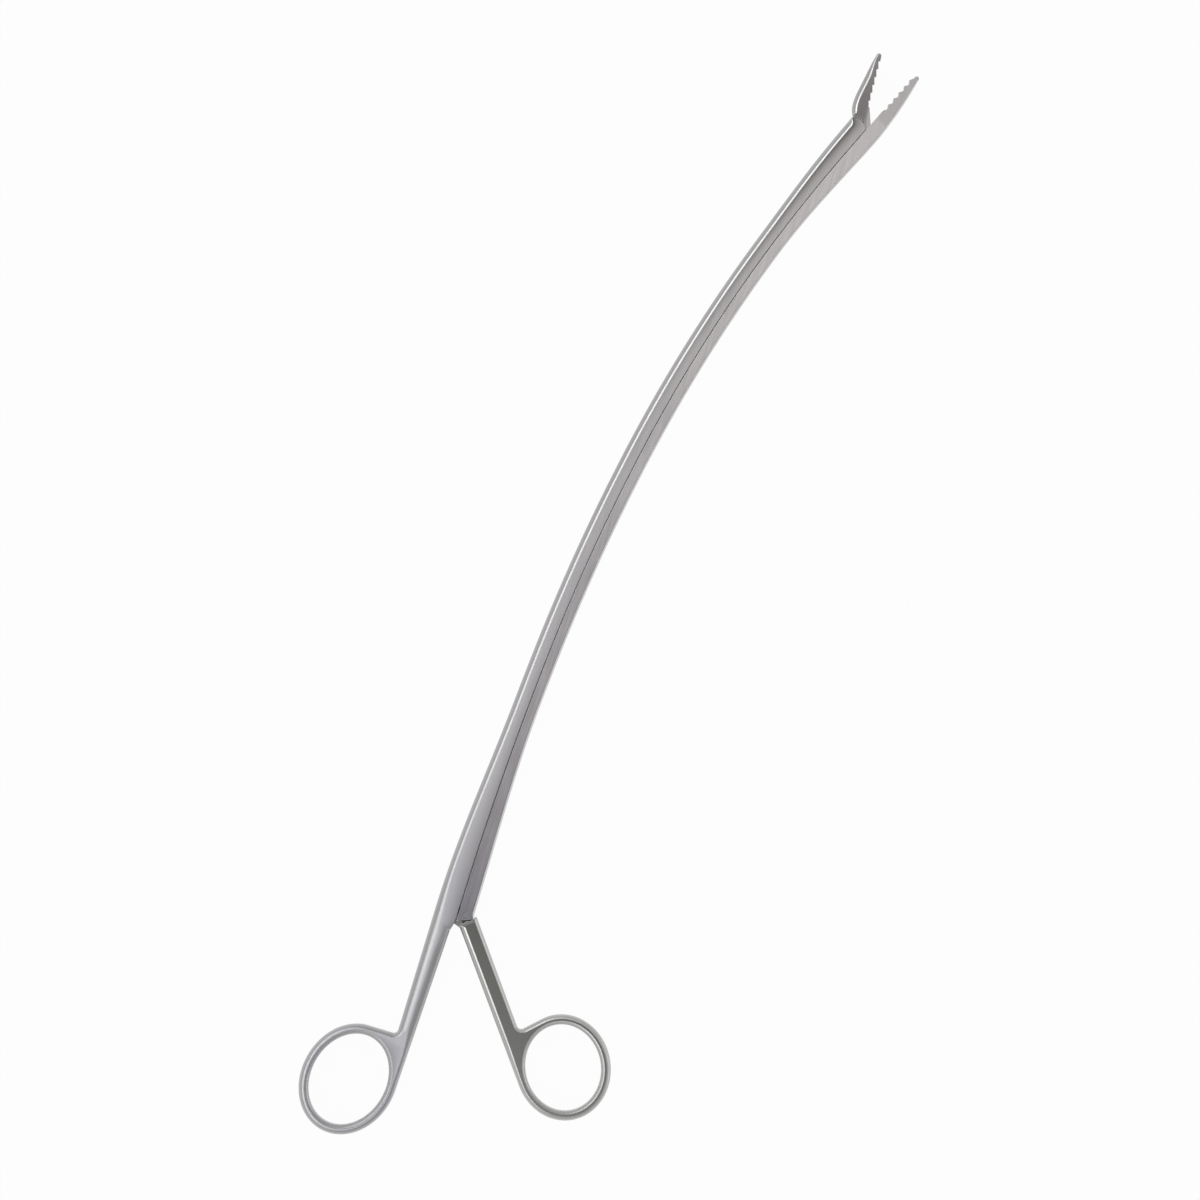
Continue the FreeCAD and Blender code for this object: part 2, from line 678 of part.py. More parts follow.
def moving_handle_outline(inset):
    """Plan outline of the moving handle's shank, drawn in along both its sides."""
    along = heading(180 + MOVING_SHANK_TURN)
    side = heading(MOVING_SHANK_TURN - 90)
    half = MOVING_SHANK_WIDTH / 2
    front = HANDLE_DRIVE + along * MOVING_SHANK_FRONT
    facing = front - side * half + along * MOVING_SHANK_BACK
    touch = ring_touch(MOVING_RING, facing, 1)
    inward = heading(angle_of(touch - facing) + 90) * inset
    crook_reach = (MOVING_RING[0] - HANDLE_DRIVE).dot(along) - MOVING_CROOK_SHORT
    corner = HANDLE_DRIVE + along * crook_reach + side * half
    bend, web_end = web(MOVING_RING, corner, side, -1, inset)
    start, end = bend.Vertexes[0].Point, bend.Vertexes[-1].Point
    front_right = front + side * (half - inset)
    outline = polyline([front_right, start])
    outline.append(bend)
    outline.extend(polyline([end, web_end, MOVING_RING[0], touch + inward, facing + inward,
                             front - side * (half - inset), front_right]))
    return outline


def moving_handle():
    """Moving handle, its head hollowed round the bars at rest and closed."""
    handle = finger_ring(bevelled(moving_handle_outline, SHANK_BEVEL), MOVING_RING)
    handle = handle.cut([bar_end(JOINT_GAP),
                         spun(bar_end(JOINT_GAP), HANDLE_DRIVE, HANDLE_SWING),
                         heel_block(JOINT_GAP),
                         spun(heel_block(JOINT_GAP), HANDLE_PIVOT, HANDLE_SWING)])
    tip = HANDLE_DRIVE + heading(180 + MOVING_SHANK_TURN) * MOVING_TONGUE_REACH
    handle = fused([handle, tongue(HANDLE_PIVOT, HANDLE_DRIVE, tip, TONGUE_EYE)])
    return handle.cut(running_bore(HANDLE_PIVOT)).cut(open_bore(HANDLE_PIVOT, HANDLE_DRIVE))


def pin(centre):
    """Riveted hinge pin, dressed off just below both faces."""
    return disc(centre, PIN_RADIUS, PIN_RECESS, THICKNESS - PIN_RECESS)


parts = {
    "outer_bar": outer_bar(),
    "inner_bar": inner_bar(),
    "moving_jaw": moving_jaw(),
    "moving_handle": moving_handle(),
    "handle_pivot_pin": pin(HANDLE_PIVOT),
    "handle_drive_pin": pin(HANDLE_DRIVE),
    "jaw_pivot_pin": pin(JAW_PIVOT),
    "jaw_drive_pin": pin(JAW_DRIVE),
}
for name, place in GUIDE_PLACES:
    parts["guide_stud_" + name] = guide_stud(place)

for name, shape in parts.items():
    shape.exportStep("parts/" + name + ".step")
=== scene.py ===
import logging
import math
from dataclasses import dataclass, field
from enum import Enum

import bmesh
import bpy
import numpy as np
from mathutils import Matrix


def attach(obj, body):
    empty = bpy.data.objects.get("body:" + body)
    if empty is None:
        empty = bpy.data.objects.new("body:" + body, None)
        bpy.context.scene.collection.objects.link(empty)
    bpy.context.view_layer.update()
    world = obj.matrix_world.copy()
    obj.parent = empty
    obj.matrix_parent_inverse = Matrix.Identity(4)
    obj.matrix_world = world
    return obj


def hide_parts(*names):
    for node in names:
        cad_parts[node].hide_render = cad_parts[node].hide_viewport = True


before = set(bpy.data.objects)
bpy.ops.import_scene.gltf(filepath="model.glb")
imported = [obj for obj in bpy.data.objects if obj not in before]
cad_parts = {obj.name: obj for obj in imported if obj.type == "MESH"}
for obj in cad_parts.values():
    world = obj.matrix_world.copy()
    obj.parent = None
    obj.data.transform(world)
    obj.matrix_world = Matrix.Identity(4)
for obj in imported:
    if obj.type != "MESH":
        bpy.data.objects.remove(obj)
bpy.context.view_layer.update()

# A curved surgical passer that lies flat with its jaws open. Plan shapes are worked out
# in millimetres as complex numbers, x + iy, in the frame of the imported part: +x forward
# along the start of the seam, +y to the outer side of the curve, z = 0 the underside.
# A jaw grows thinner from TAPER_START ahead of the seam's end to TIP_THICKNESS. TONGUE is
# the height of a tongue's two faces, and outline points nearer than REPEAT count as one.

MILLIMETRE = 0.001
THICKNESS = 5.6
TIP_THICKNESS = 3.0
TAPER_START = 3.6
TONGUE = {"low": 1.8, "high": 3.8}
REPEAT = 0.004
# This near black is the colour of painted shade, both on the faces and inside the grooves and
# slots.
PAINTED_SHADE = (0.02, 0.02, 0.02)
log = logging.getLogger("passer")


def heading(degrees: float | np.ndarray) -> complex | np.ndarray:
    """Unit vector in the plan at this angle from +x."""
    return np.exp(1j * np.radians(degrees))


def straight(start: complex, end: complex, count: int) -> np.ndarray:
    """Evenly spaced points of a straight stretch."""
    return start + (end - start) * np.linspace(0, 1, count)


def bend(centre: complex, radius: float, first: float, last: float, count: int) -> np.ndarray:
    """Points of an arc about centre, between two angles in degrees."""
    return centre + radius * heading(np.linspace(first, last, count))


def turned(points: np.ndarray, centre: complex, degrees: float) -> np.ndarray:
    """The points turned about centre."""
    return centre + (points - centre) * heading(degrees)


def meeting(start: complex, way: complex, other: complex, other_way: complex) -> complex:
    """Where two straight lines cross, each given by a point and a direction."""
    across = (way.conjugate() * other_way).imag
    return start + way * ((other - start).conjugate() * other_way).imag / across


def through(knots: list[complex], count: int) -> np.ndarray:
    """One smooth curve through a few knots: a polynomial in the length between them.

    Args:
        knots: points that the curve passes, in order.
        count: how many points to return.

    Returns:
        Points evenly spread over the polynomial's parameter.
    """
    places = np.concatenate([[0], np.cumsum(np.abs(np.diff(knots)))])
    curve = np.polyfit(places, np.array(knots), len(knots) - 1)
    return np.polyval(curve, np.linspace(0, places[-1], count))


def eased(values: np.ndarray, start: float, end: float) -> np.ndarray:
    """Smooth step: 0 at start, 1 at end, level at both."""
    t = np.clip((np.asarray(values, float) - start) / (end - start), 0, 1)
    return t * t * (3 - 2 * t)


@dataclass(frozen=True)
class Seam:
    """The joint line between the two bars: arcs that turn to the inner side, then straight."""

    start: complex = -12.0 - 3.1j
    arcs: tuple = ((80.0, 968.0), (60.0, 588.0), (104.5, 447.0))
    straight_end: float = 10.0
    gap: float = 0.2
    near_flare: float = 65.0
    far_flare: float = 45.0

    @property
    def length(self) -> float:
        """Length from the handle joint to the jaw joint."""
        return sum(length for length, radius in self.arcs) + self.straight_end

    def at(self, distance: np.ndarray) -> tuple[np.ndarray, np.ndarray]:
        """Points and unit directions at distances along the seam.

        Along an arc the direction turns evenly, so the way made good is the difference
        of the directions at its two ends, turned a quarter and times the radius.

        Args:
            distance: distances from the seam's start, which may be before or after it.

        Returns:
            The points and the unit directions, as complex arrays.
        """
        distance = np.atleast_1d(np.asarray(distance, float))
        way = np.ones_like(distance, complex)
        point = self.start + np.minimum(distance, 0).astype(complex)
        done = 0.0
        for length, radius in self.arcs:
            part = np.clip(distance - done, 0, length)
            after = way * np.exp(-1j * part / radius)
            point = point + 1j * radius * (after - way)
            way = after
            done += length
        return point + way * np.maximum(distance - done, 0), way

    def beside(self, distance: np.ndarray, offset: np.ndarray) -> np.ndarray:
        """Points at distances along the seam, moved to its outer side by offset."""
        point, way = self.at(distance)
        return point + 1j * way * offset

    def flared(self, distance: np.ndarray, root: float, waist: float, end: float) -> np.ndarray:
        """Width of a bar: a waist that flares by half a cosine wave to each end.

        Args:
            distance: distances along the seam.
            root: width at the handle joint.
            waist: least width.
            end: width at the jaw joint.

        Returns:
            The width at each distance.
        """
        near = np.clip(np.asarray(distance) / self.near_flare, 0, 1)
        far = np.clip((self.length - np.asarray(distance)) / self.far_flare, 0, 1)
        return (waist + (root - waist) * (1 + np.cos(np.pi * near)) / 2
                + (end - waist) * (1 + np.cos(np.pi * far)) / 2)


@dataclass(frozen=True)
class Linkage:
    """Pin places, as along and out from a joint, and the angles that the levers turn through."""

    seam: Seam = Seam()
    handle_pin: tuple = (-0.25, 1.75)
    jaw_pin: tuple = (-2.7, -1.78)
    travel: float = 2.1
    handle_swing: float = 28.5
    jaw_swing: float = 26.6
    knuckle: float = 3.85

    def arm(self, swing: float) -> float:
        """Length of a lever that moves the bar by its travel in this swing."""
        return self.travel / (2 * math.sin(math.radians(swing / 2)))

    @property
    def handle_pivot(self) -> complex:
        """Pin of the handle in the outer bar."""
        return self.seam.beside(*self.handle_pin)[0]

    @property
    def handle_drive(self) -> complex:
        """Pin of the handle in the inner bar."""
        return self.handle_pivot + (heading(self.handle_swing / 2 - 90)
                                    * self.arm(self.handle_swing))

    @property
    def bite_angle(self) -> float:
        """Direction of the seam's end, in degrees."""
        return math.degrees(np.angle(self.seam.at(self.seam.length)[1][0]))

    @property
    def jaw_pivot(self) -> complex:
        """Pin of the moving jaw in the inner bar."""
        along, out = self.jaw_pin
        return self.seam.beside(self.seam.length + along, out)[0]

    @property
    def jaw_drive(self) -> complex:
        """Pin of the moving jaw in the outer bar."""
        return self.jaw_pivot + (heading(self.bite_angle + 90 + self.jaw_swing / 2)
                                 * self.arm(self.jaw_swing))

    def bite(self, forward: np.ndarray, out: np.ndarray) -> np.ndarray:
        """Points ahead of the seam's end and out from the bite line."""
        end, way = self.seam.at(self.seam.length)
        return end[0] + way[0] * (np.asarray(forward) + 1j * np.asarray(out))

    def knuckle_forward(self, centre: complex, radius: float, out: float) -> float:
        """How far ahead of the seam's end a knuckle reaches, at some place beside the seam.

        Args:
            centre: centre of the knuckle.
            radius: its radius.
            out: distance of the place from the seam's line.

        Returns:
            The reach along the seam's last direction.
        """
        end, way = self.seam.at(self.seam.length)
        from_end = (centre - end[0]) * way[0].conjugate()
        return from_end.real + math.sqrt(radius ** 2 - (out - from_end.imag) ** 2)


class Outline:
    """A closed plan outline in stretches, each with how its edge is rounded and grooved."""

    def __init__(self) -> None:
        """Starts with no stretch."""
        self.stretches: list[np.ndarray] = []

    def add(self, points: np.ndarray, round_in: float | np.ndarray,
            round_down: float | np.ndarray | None = None, groove: float | np.ndarray = 0.0,
            across: float | np.ndarray = 0.5, band: float | np.ndarray = 0.0) -> "Outline":
        """Adds a stretch.

        Args:
            points: complex plan points in millimetres, with the body on their left.
            round_in: how far the rounded edge reaches in over the face.
            round_down: how far it reaches down the wall, the same where left out.
            groove: depth of the slot in the wall at half thickness, or less than 0 for a lip.
            across: place between the outer side, 0, and the inner side, 1, for painted shade.
            band: 1 where the edge is ground to a narrow slope, 0 where it is plainly round.

        Returns:
            The outline itself, so that stretches can follow one another.
        """
        round_down = round_in if round_down is None else round_down
        rows = np.zeros((6, len(points)), complex)
        rows[0] = points
        for row, value in enumerate((round_in, round_down, groove, across, band), 1):
            rows[row] = value
        self.stretches.append(rows)
        return self

    def rows(self) -> tuple[np.ndarray, ...]:
        """The whole outline as arrays, with points that repeat left out.

        Returns:
            The points, and then each value that add takes, in its order.
        """
        rows = np.concatenate(self.stretches, axis=1)
        keep = np.abs(rows[0] - np.roll(rows[0], 1)) > REPEAT
        rows = rows[:, keep]
        return rows[0], *(rows[i].real for i in range(1, 6))


@dataclass(frozen=True)
class Taper:
    """How a jaw grows thinner towards its tip, by an even fall along a direction."""

    origin: complex
    way: complex
    end: float
    start: float = TAPER_START
    share: float = 1 - TIP_THICKNESS / THICKNESS

    def scale(self, plan: np.ndarray) -> np.ndarray:
        """Share of the thickness that is left at plan points, 1 before the taper starts."""
        reach = ((plan - self.origin) * np.conj(self.way)).real
        return 1 - self.share * np.clip((reach - self.start) / (self.end - self.start), 0, 1)


@dataclass
class Forging:
    """A flat forged piece: a rounded edge carried round its outline, and two flat faces."""

    name: str
    outline: Outline
    holes: list[Outline] = field(default_factory=list)
    low: float = 0.0
    high: float = THICKNESS
    groove_low: float = 1.75
    groove_high: float = 3.85
    taper: Taper | None = None
    steps: int = 13
    guard: float = 0.12
    sharpest: float = 0.6
    sharp_angle: float = 34.0
    slope: float = 40.0
    slope_spread: float = 11.0
    slope_weight: float = 4.0
    glint: float = 10.0
    glint_spread: float = 4.0
    glint_weight: float = 3.0

    def _inward(self, points: np.ndarray) -> np.ndarray:
        """Direction into the body at each point, lengthened where the outline turns.

        Args:
            points: the outline's points, with the body on their left.

        Returns:
            The sum of the two neighbouring normals, of a length that keeps the inset even.
        """
        before = points - np.roll(points, 1)
        after = np.roll(points, -1) - points
        before, after = before / np.abs(before), after / np.abs(after)
        inward = 1j * (before + after)
        inward /= np.maximum(np.abs(inward), 1e-6)
        lengthen = (np.conj(1j * before) * inward).real
        return inward / np.clip(lengthen, self.sharpest, 1)

    def _section(self, ground: float) -> tuple[np.ndarray, np.ndarray]:
        """Section of an edge, as shares reached in and down at evenly spaced tilts.

        The surface tilts evenly from level to upright. Its radius of curvature is one all
        the way, plus two bells: one about the slope's tilt and one about the tilt of the
        narrow land beside the face, which catches the light. Each small turn moves the
        surface in by radius times cosine and down by radius times sine of the tilt.

        Args:
            ground: 0 for a quarter circle, 1 for a slope and a land.

        Returns:
            Columns of the inset, 1 at the face, and of the drop, 0 at the face.
        """
        fine = 360
        tilt = np.linspace(0, 90, fine + 1)
        slope = np.exp(-((tilt - self.slope) / self.slope_spread) ** 2)
        glint = np.exp(-((tilt - self.glint) / self.glint_spread) ** 2)
        radius = 1 + ground * (self.slope_weight * slope + self.glint_weight * glint)
        inward = np.cumsum(radius * np.cos(np.radians(tilt)))
        drop = np.cumsum(radius * np.sin(np.radians(tilt)))
        pick = np.linspace(0, fine, self.steps).round().astype(int)
        return (1 - inward[pick] / inward[-1])[:, None], (drop[pick] / drop[-1])[:, None]

    def _strip(self, outline: Outline) -> tuple[np.ndarray, ...]:
        """The wall of one outline as a grid of rows, from the top face down.

        Args:
            outline: the outline that the wall goes round.

        Returns:
            Plan points, heights and how far down the edge each is, all rows by points,
            and the shading places.
        """
        points, round_in, round_down, groove, across, band = outline.rows()
        inward = self._inward(points)
        plain_in, plain_drop = self._section(0)
        band_in, band_drop = self._section(1)
        inset = round_in * (plain_in + (band_in - plain_in) * band)
        drop = plain_drop + (band_drop - plain_drop) * band
        flat = np.zeros_like(round_in)
        inset = np.vstack([round_in + self.guard, inset])
        drop = np.vstack([flat, drop])
        height = self.high - round_down * drop
        lower = self.low + self.high - height[::-1]
        middle, inside = [], []
        if groove.any():
            middle = [flat, groove, groove, flat]
            # Rows inside a groove get a rim of 2, which the material paints as shade.
            inside = [1.0 + (row != 0) for row in middle]
            level = np.array([self.groove_high] * 2 + [self.groove_low] * 2)[:, None]
            height = np.vstack([height, level + flat])
        inset = np.vstack([inset, *middle, inset[::-1]])
        rim = np.vstack([drop, *inside, drop[::-1]])
        return points + inward * inset, np.vstack([height, lower]), rim, across

    def build(self) -> bpy.types.Object:
        """Makes the mesh: one grid for each outline, and faces filled between the grids.

        Returns:
            The new object, at the origin.
        """
        verts, quads, places, rims = [], [], [], []
        first = 0
        for outline in [self.outline, *self.holes]:
            plan, height, rim, across = self._strip(outline)
            rows, count = plan.shape
            if self.taper is not None:
                middle = (self.low + self.high) / 2
                height = middle + (height - middle) * self.taper.scale(plan)
            grid = first + np.arange(rows * count).reshape(rows, count)
            upper, lower = grid[:-1], grid[1:]
            face = np.stack([upper, lower, np.roll(lower, -1, 1), np.roll(upper, -1, 1)], -1)
            verts.append(np.stack([plan.real, plan.imag, height], -1).reshape(-1, 3))
            quads.append(face.reshape(-1, 4))
            places.append(np.tile(across, rows))
            rims.append(rim.ravel())
            first += rows * count
        mesh = bpy.data.meshes.new(self.name)
        mesh.from_pydata(np.concatenate(verts) * MILLIMETRE, [], np.concatenate(quads))
        for name, values in (("across", places), ("rim", rims)):
            layer = mesh.attributes.new(name, "FLOAT", "POINT")
            layer.data.foreach_set("value", np.concatenate(values).astype(np.float32))
        self._fill_faces(mesh)
        mesh.shade_smooth()
        mesh.set_sharp_from_angle(angle=math.radians(self.sharp_angle))
        piece = bpy.data.objects.new(self.name, mesh)
        bpy.context.scene.collection.objects.link(piece)
        return piece

    def _fill_faces(self, mesh: bpy.types.Mesh) -> None:
        """Closes the top and the underside between the open rims of the grids.

        Args:
            mesh: the mesh to close.
        """
        work = bmesh.new()
        work.from_mesh(mesh)
        middle = (self.low + self.high) / 2 * MILLIMETRE
        rims = [edge for edge in work.edges if edge.is_boundary]
        for side in (1, -1):
            rim = [edge for edge in rims if (edge.verts[0].co.z - middle) * side > 0]
            bmesh.ops.triangle_fill(work, edges=rim, use_beauty=True, normal=(0, 0, side))
        bmesh.ops.remove_doubles(work, verts=work.verts, dist=1e-7)
        bmesh.ops.recalc_face_normals(work, faces=work.faces)
        work.to_mesh(mesh)
        work.free()


def disc_hull(discs: list[tuple[complex, float]], count: int = 96) -> np.ndarray:
    """Outline of the tightest band round some discs.

    For each direction the point is the one furthest that way: the centre of the disc
    that reaches furthest, plus its radius in that direction.

    Args:
        discs: the centre and radius of each disc.
        count: how many directions.

    Returns:
        The outline's points, anticlockwise.
    """
    way = heading(np.linspace(0, 360, count, endpoint=False))
    centres = np.array([centre for centre, radius in discs])[:, None]
    radii = np.array([radius for centre, radius in discs])[:, None]
    reach = (centres * np.conj(way)).real + radii
    best = np.argmax(reach, axis=0)
    return centres[best, 0] + radii[best, 0] * way


# Shader expressions

class Value:
    """A shader socket that takes part in Python arithmetic."""

    def __init__(self, shader: "Shader", socket: bpy.types.NodeSocket) -> None:
        """Wraps an output socket of a node in this shader."""
        self.shader = shader
        self.socket = socket

    def _math(self, operation: str, first: "Value | float",
              second: "Value | float") -> "Value":
        """One Math node on two values."""
        made = self.shader.node("ShaderNodeMath", {"operation": operation},
                                {0: first, 1: second})
        return Value(self.shader, made.outputs[0])

    def __add__(self, other: "Value | float") -> "Value":
        """This plus other."""
        return self._math("ADD", self, other)

    def __radd__(self, other: "Value | float") -> "Value":
        """Other plus this."""
        return self._math("ADD", other, self)

    def __sub__(self, other: "Value | float") -> "Value":
        """This less other."""
        return self._math("SUBTRACT", self, other)

    def __rsub__(self, other: "Value | float") -> "Value":
        """Other less this."""
        return self._math("SUBTRACT", other, self)

    def __mul__(self, other: "Value | float") -> "Value":
        """This times other."""
        return self._math("MULTIPLY", self, other)

    def __rmul__(self, other: "Value | float") -> "Value":
        """Other times this."""
        return self._math("MULTIPLY", other, self)

    def __truediv__(self, other: "Value | float") -> "Value":
        """This over other."""
        return self._math("DIVIDE", self, other)

    def __pow__(self, other: "Value | float") -> "Value":
        """This to the power of other."""
        return self._math("POWER", self, other)

    def held(self) -> "Value":
        """This kept between 0 and 1."""
        return self._math("MAXIMUM", self._math("MINIMUM", self, 1.0), 0.0)


class Shader:
    """A node tree that is filled by expressions."""

    def __init__(self, owner: bpy.types.Material | bpy.types.World) -> None:
        """Clears the owner's tree and starts a new one."""
        owner.use_nodes = True
        self.tree = owner.node_tree
        self.tree.nodes.clear()

    def node(self, kind: str, settings: dict | None = None,
             sockets: dict | None = None) -> bpy.types.Node:
        """Adds a node.

        Args:
            kind: the node's type.
            settings: properties that are set before its sockets.
            sockets: a value, a Value or an output socket for each input.

        Returns:
            The new node.
        """
        made = self.tree.nodes.new(kind)
        for name, setting in (settings or {}).items():
            setattr(made, name, setting)
        for key, given in (sockets or {}).items():
            source = given.socket if isinstance(given, Value) else given
            if isinstance(source, bpy.types.NodeSocket):
                self.tree.links.new(source, made.inputs[key])
            else:
                made.inputs[key].default_value = source
        return made

    def value(self, kind: str, settings: dict | None = None, sockets: dict | None = None,
              output: int | str = 0) -> Value:
        """Adds a node and returns one of its outputs as a Value."""
        return Value(self, self.node(kind, settings, sockets).outputs[output])

    def mixed(self, factor: Value, first: Value | tuple, second: Value | tuple) -> Value:
        """Mixes two colours.

        Args:
            factor: 0 for the first colour, 1 for the second.
            first: a colour, varying or constant.
            second: a colour, varying or constant.

        Returns:
            The mixed colour.
        """
        first, second = ((*given, 1) if isinstance(given, tuple) else given
                         for given in (first, second))
        made = self.node("ShaderNodeMix", {"data_type": "RGBA"},
                         {"Factor": factor, 6: first, 7: second})
        return Value(self, made.outputs[2])


class Lay(Enum):
    """Direction that the polishing grain runs in, as how fast it changes along x, y, z."""

    ALONG = (90.0, 1500.0, 1500.0)
    ROUND = (500.0, 500.0, 1500.0)


@dataclass(frozen=True)
class SatinSteelPaintedLight:
    """Satin polished stainless steel: flat faces change along and across, in painted light and
    shade.

    The faces go from near at near_x to far at far_x, both in metres, a painted run of light and
    shade. The land is the part of a ground edge next to the face, and its colour is a painted
    highlight; edge is the rest of it, with a painted level of light. shade is what is left of the
    brightness by the outer side at the far end, and seam_shade what is lost by the seam at
    the near end, both painted shade. Past the reach of a patch, in millimetres along its
    direction, the face keeps its colour, and before it the face has the patch's colour, a
    painted level of light.
    """

    name: str
    near: tuple
    far: tuple
    edge: tuple = (0.45, 0.45, 0.45)
    near_land_highlight: tuple = (0.50, 0.50, 0.51)
    far_land_highlight: tuple = (0.95, 0.94, 0.93)
    near_x: float = -0.06
    far_x: float = 0.24
    shade: float = 1.0
    seam_shade: float = 0.0
    roughness: float = 0.34
    grain: float = 0.1
    grain_share: float = 0.3
    cloud_share: float = 0.25
    cloud_scale: float = 55.0
    lay: Lay = Lay.ALONG
    patch: tuple | None = None
    patch_painted_light: tuple = (0.28, 0.28, 0.27)
    patch_slope: float = 5000.0
    land_slope: float = 60.0
    edge_from: float = 0.07
    edge_slope: float = 16.0

    def _face(self, shader: Shader, tint: Value, along: Value) -> Value:
        """Colour of the flat faces, with painted light and shade.

        It runs from near to far with the tint, a painted run of light and shade. It darkens with
        painted shade by the cube of the place along, next to the outer side, and by the square of
        what is left, next to the seam.

        Args:
            shader: the tree to add to.
            tint: place between the near and the far colour.
            along: place along the piece, from 0 to 1.

        Returns:
            The colour.
        """
        across = shader.value("ShaderNodeAttribute", {"attribute_name": "across"}, None, "Fac")
        # Painted shade: the faces darken towards near black by the outer side far along and by the
        # seam near the start.
        fall = (along.held() ** 3 * (1 - across.held()) ** 2 * (1 - self.shade)
                + (1 - along).held() ** 2 * across.held() * self.seam_shade)
        return shader.mixed(fall, shader.mixed(tint.held(), self.near, self.far), PAINTED_SHADE)

    def _edges(self, shader: Shader, colour: Value, along: Value) -> Value:
        """Colour of the edges over that of the faces: a painted highlight on the land, a painted
        level of light on the edge, and painted shade in the grooves.

        Args:
            shader: the tree to add to.
            colour: the faces' colour.
            along: place along the piece, from 0 to 1.

        Returns:
            The colour.
        """
        rim = shader.value("ShaderNodeAttribute", {"attribute_name": "rim"}, None, "Fac")
        # The land gets a painted highlight, and the rest of the edge a painted level of light.
        land = shader.mixed(along.held(), self.near_land_highlight, self.far_land_highlight)
        colour = shader.mixed((rim * self.land_slope).held(), colour, land)
        rise = ((rim - self.edge_from) * self.edge_slope).held()
        colour = shader.mixed(rise, colour, self.edge)
        # Rows inside grooves and slots, with a rim above 1, get painted shade.
        return shader.mixed((rim - 1.0).held(), colour, PAINTED_SHADE)

    def material(self) -> bpy.types.Material:
        """Builds the material: a tint that runs along the piece as painted light and shade, under
        a fine grain.

        Returns:
            The new material.
        """
        made = bpy.data.materials.new(self.name)
        shader = Shader(made)
        spot = shader.node("ShaderNodeTexCoord").outputs["Object"]
        axes = shader.node("ShaderNodeSeparateXYZ", None, {0: spot})
        x, y = (Value(shader, axes.outputs[i]) for i in (0, 1))
        along = (x - self.near_x) / (self.far_x - self.near_x)
        stretched = shader.node("ShaderNodeMapping", None, {"Vector": spot,
                                                            "Scale": self.lay.value})
        grain = shader.value("ShaderNodeTexNoise", None,
                             {"Vector": stretched.outputs[0], "Scale": 1.0, "Detail": 4.0})
        cloud = shader.value("ShaderNodeTexNoise", None,
                             {"Vector": spot, "Scale": self.cloud_scale, "Detail": 2.0})
        # The run along the piece is painted light and shade; the cloud and the grain are the
        # steel's own uneven tone.
        tint = along + (cloud - 0.5) * self.cloud_share + (grain - 0.5) * self.grain_share
        colour = self._face(shader, tint, along)
        # The patch is a painted level of light on the face before its reach.
        if self.patch is not None:
            way, reach = self.patch
            beyond = x * way.real + y * way.imag - reach * MILLIMETRE
            share = (beyond * self.patch_slope).held()
            colour = shader.mixed(share, self.patch_painted_light, colour)
        colour = self._edges(shader, colour, along)
        rough = self.roughness + (grain - 0.5) * self.grain
        surface = shader.node("ShaderNodeBsdfPrincipled", None,
                              {"Base Color": colour, "Metallic": 1.0, "Roughness": rough.held()})
        shader.node("ShaderNodeOutputMaterial", None, {"Surface": surface.outputs[0]})
        return made


# Sub-assemblies

@dataclass(frozen=True)
class FingerRing:
    """An elliptical finger ring: centre, half axes of its hole, turn and band width."""

    centre: complex
    axes: tuple
    turn: float
    band: float = 2.8
    outer_round: float = 1.3
    inner_round: float = 1.15

    def rim(self, angles: np.ndarray, grow: float) -> np.ndarray:
        """Points of the ellipse at these angles, grown outwards from the hole.

        Args:
            angles: the ellipse's parameter in degrees.
            grow: how much each half axis grows.

        Returns:
            The points.
        """
        t = np.radians(angles)
        local = (self.axes[0] + grow) * np.cos(t) + 1j * (self.axes[1] + grow) * np.sin(t)
        return self.centre + local * heading(self.turn)

    def touch(self, point: complex, side: int) -> float:
        """Angle on the outer rim where a line from point just touches it.

        In the ellipse's own frame, scaled to a circle of radius 1, the touching points
        lie either side of the point's direction by the arc cosine of 1 over its distance.

        Args:
            point: a point outside the ring.
            side: 1 for the touching point anticlockwise of the point, -1 for the other.

        Returns:
            The ellipse's parameter in degrees.
        """
        local = (point - self.centre) * heading(-self.turn)
        u = local.real / (self.axes[0] + self.band)
        v = local.imag / (self.axes[1] + self.band)
        spread = side * math.acos(1 / math.hypot(u, v))
        return math.degrees(math.atan2(v, u) + spread)

    def meet(self, point: complex, side: int) -> tuple[float, complex]:
        """Angle and place of the touching point of a line from point."""
        angle = self.touch(point, side)
        return angle, self.rim(np.array([angle]), self.band)[0]

    def around(self, first: float, last: float) -> np.ndarray:
        """Outer rim from one angle round to another, the long way, anticlockwise."""
        last = first + (last - first) % 360
        return self.rim(np.linspace(first, last, 150), self.band)

    def hole(self) -> Outline:
        """The finger hole, with the body on the left of its points."""
        points = self.rim(np.linspace(360, 0, 140, endpoint=False), 0.0)
        return Outline().add(points, self.inner_round)


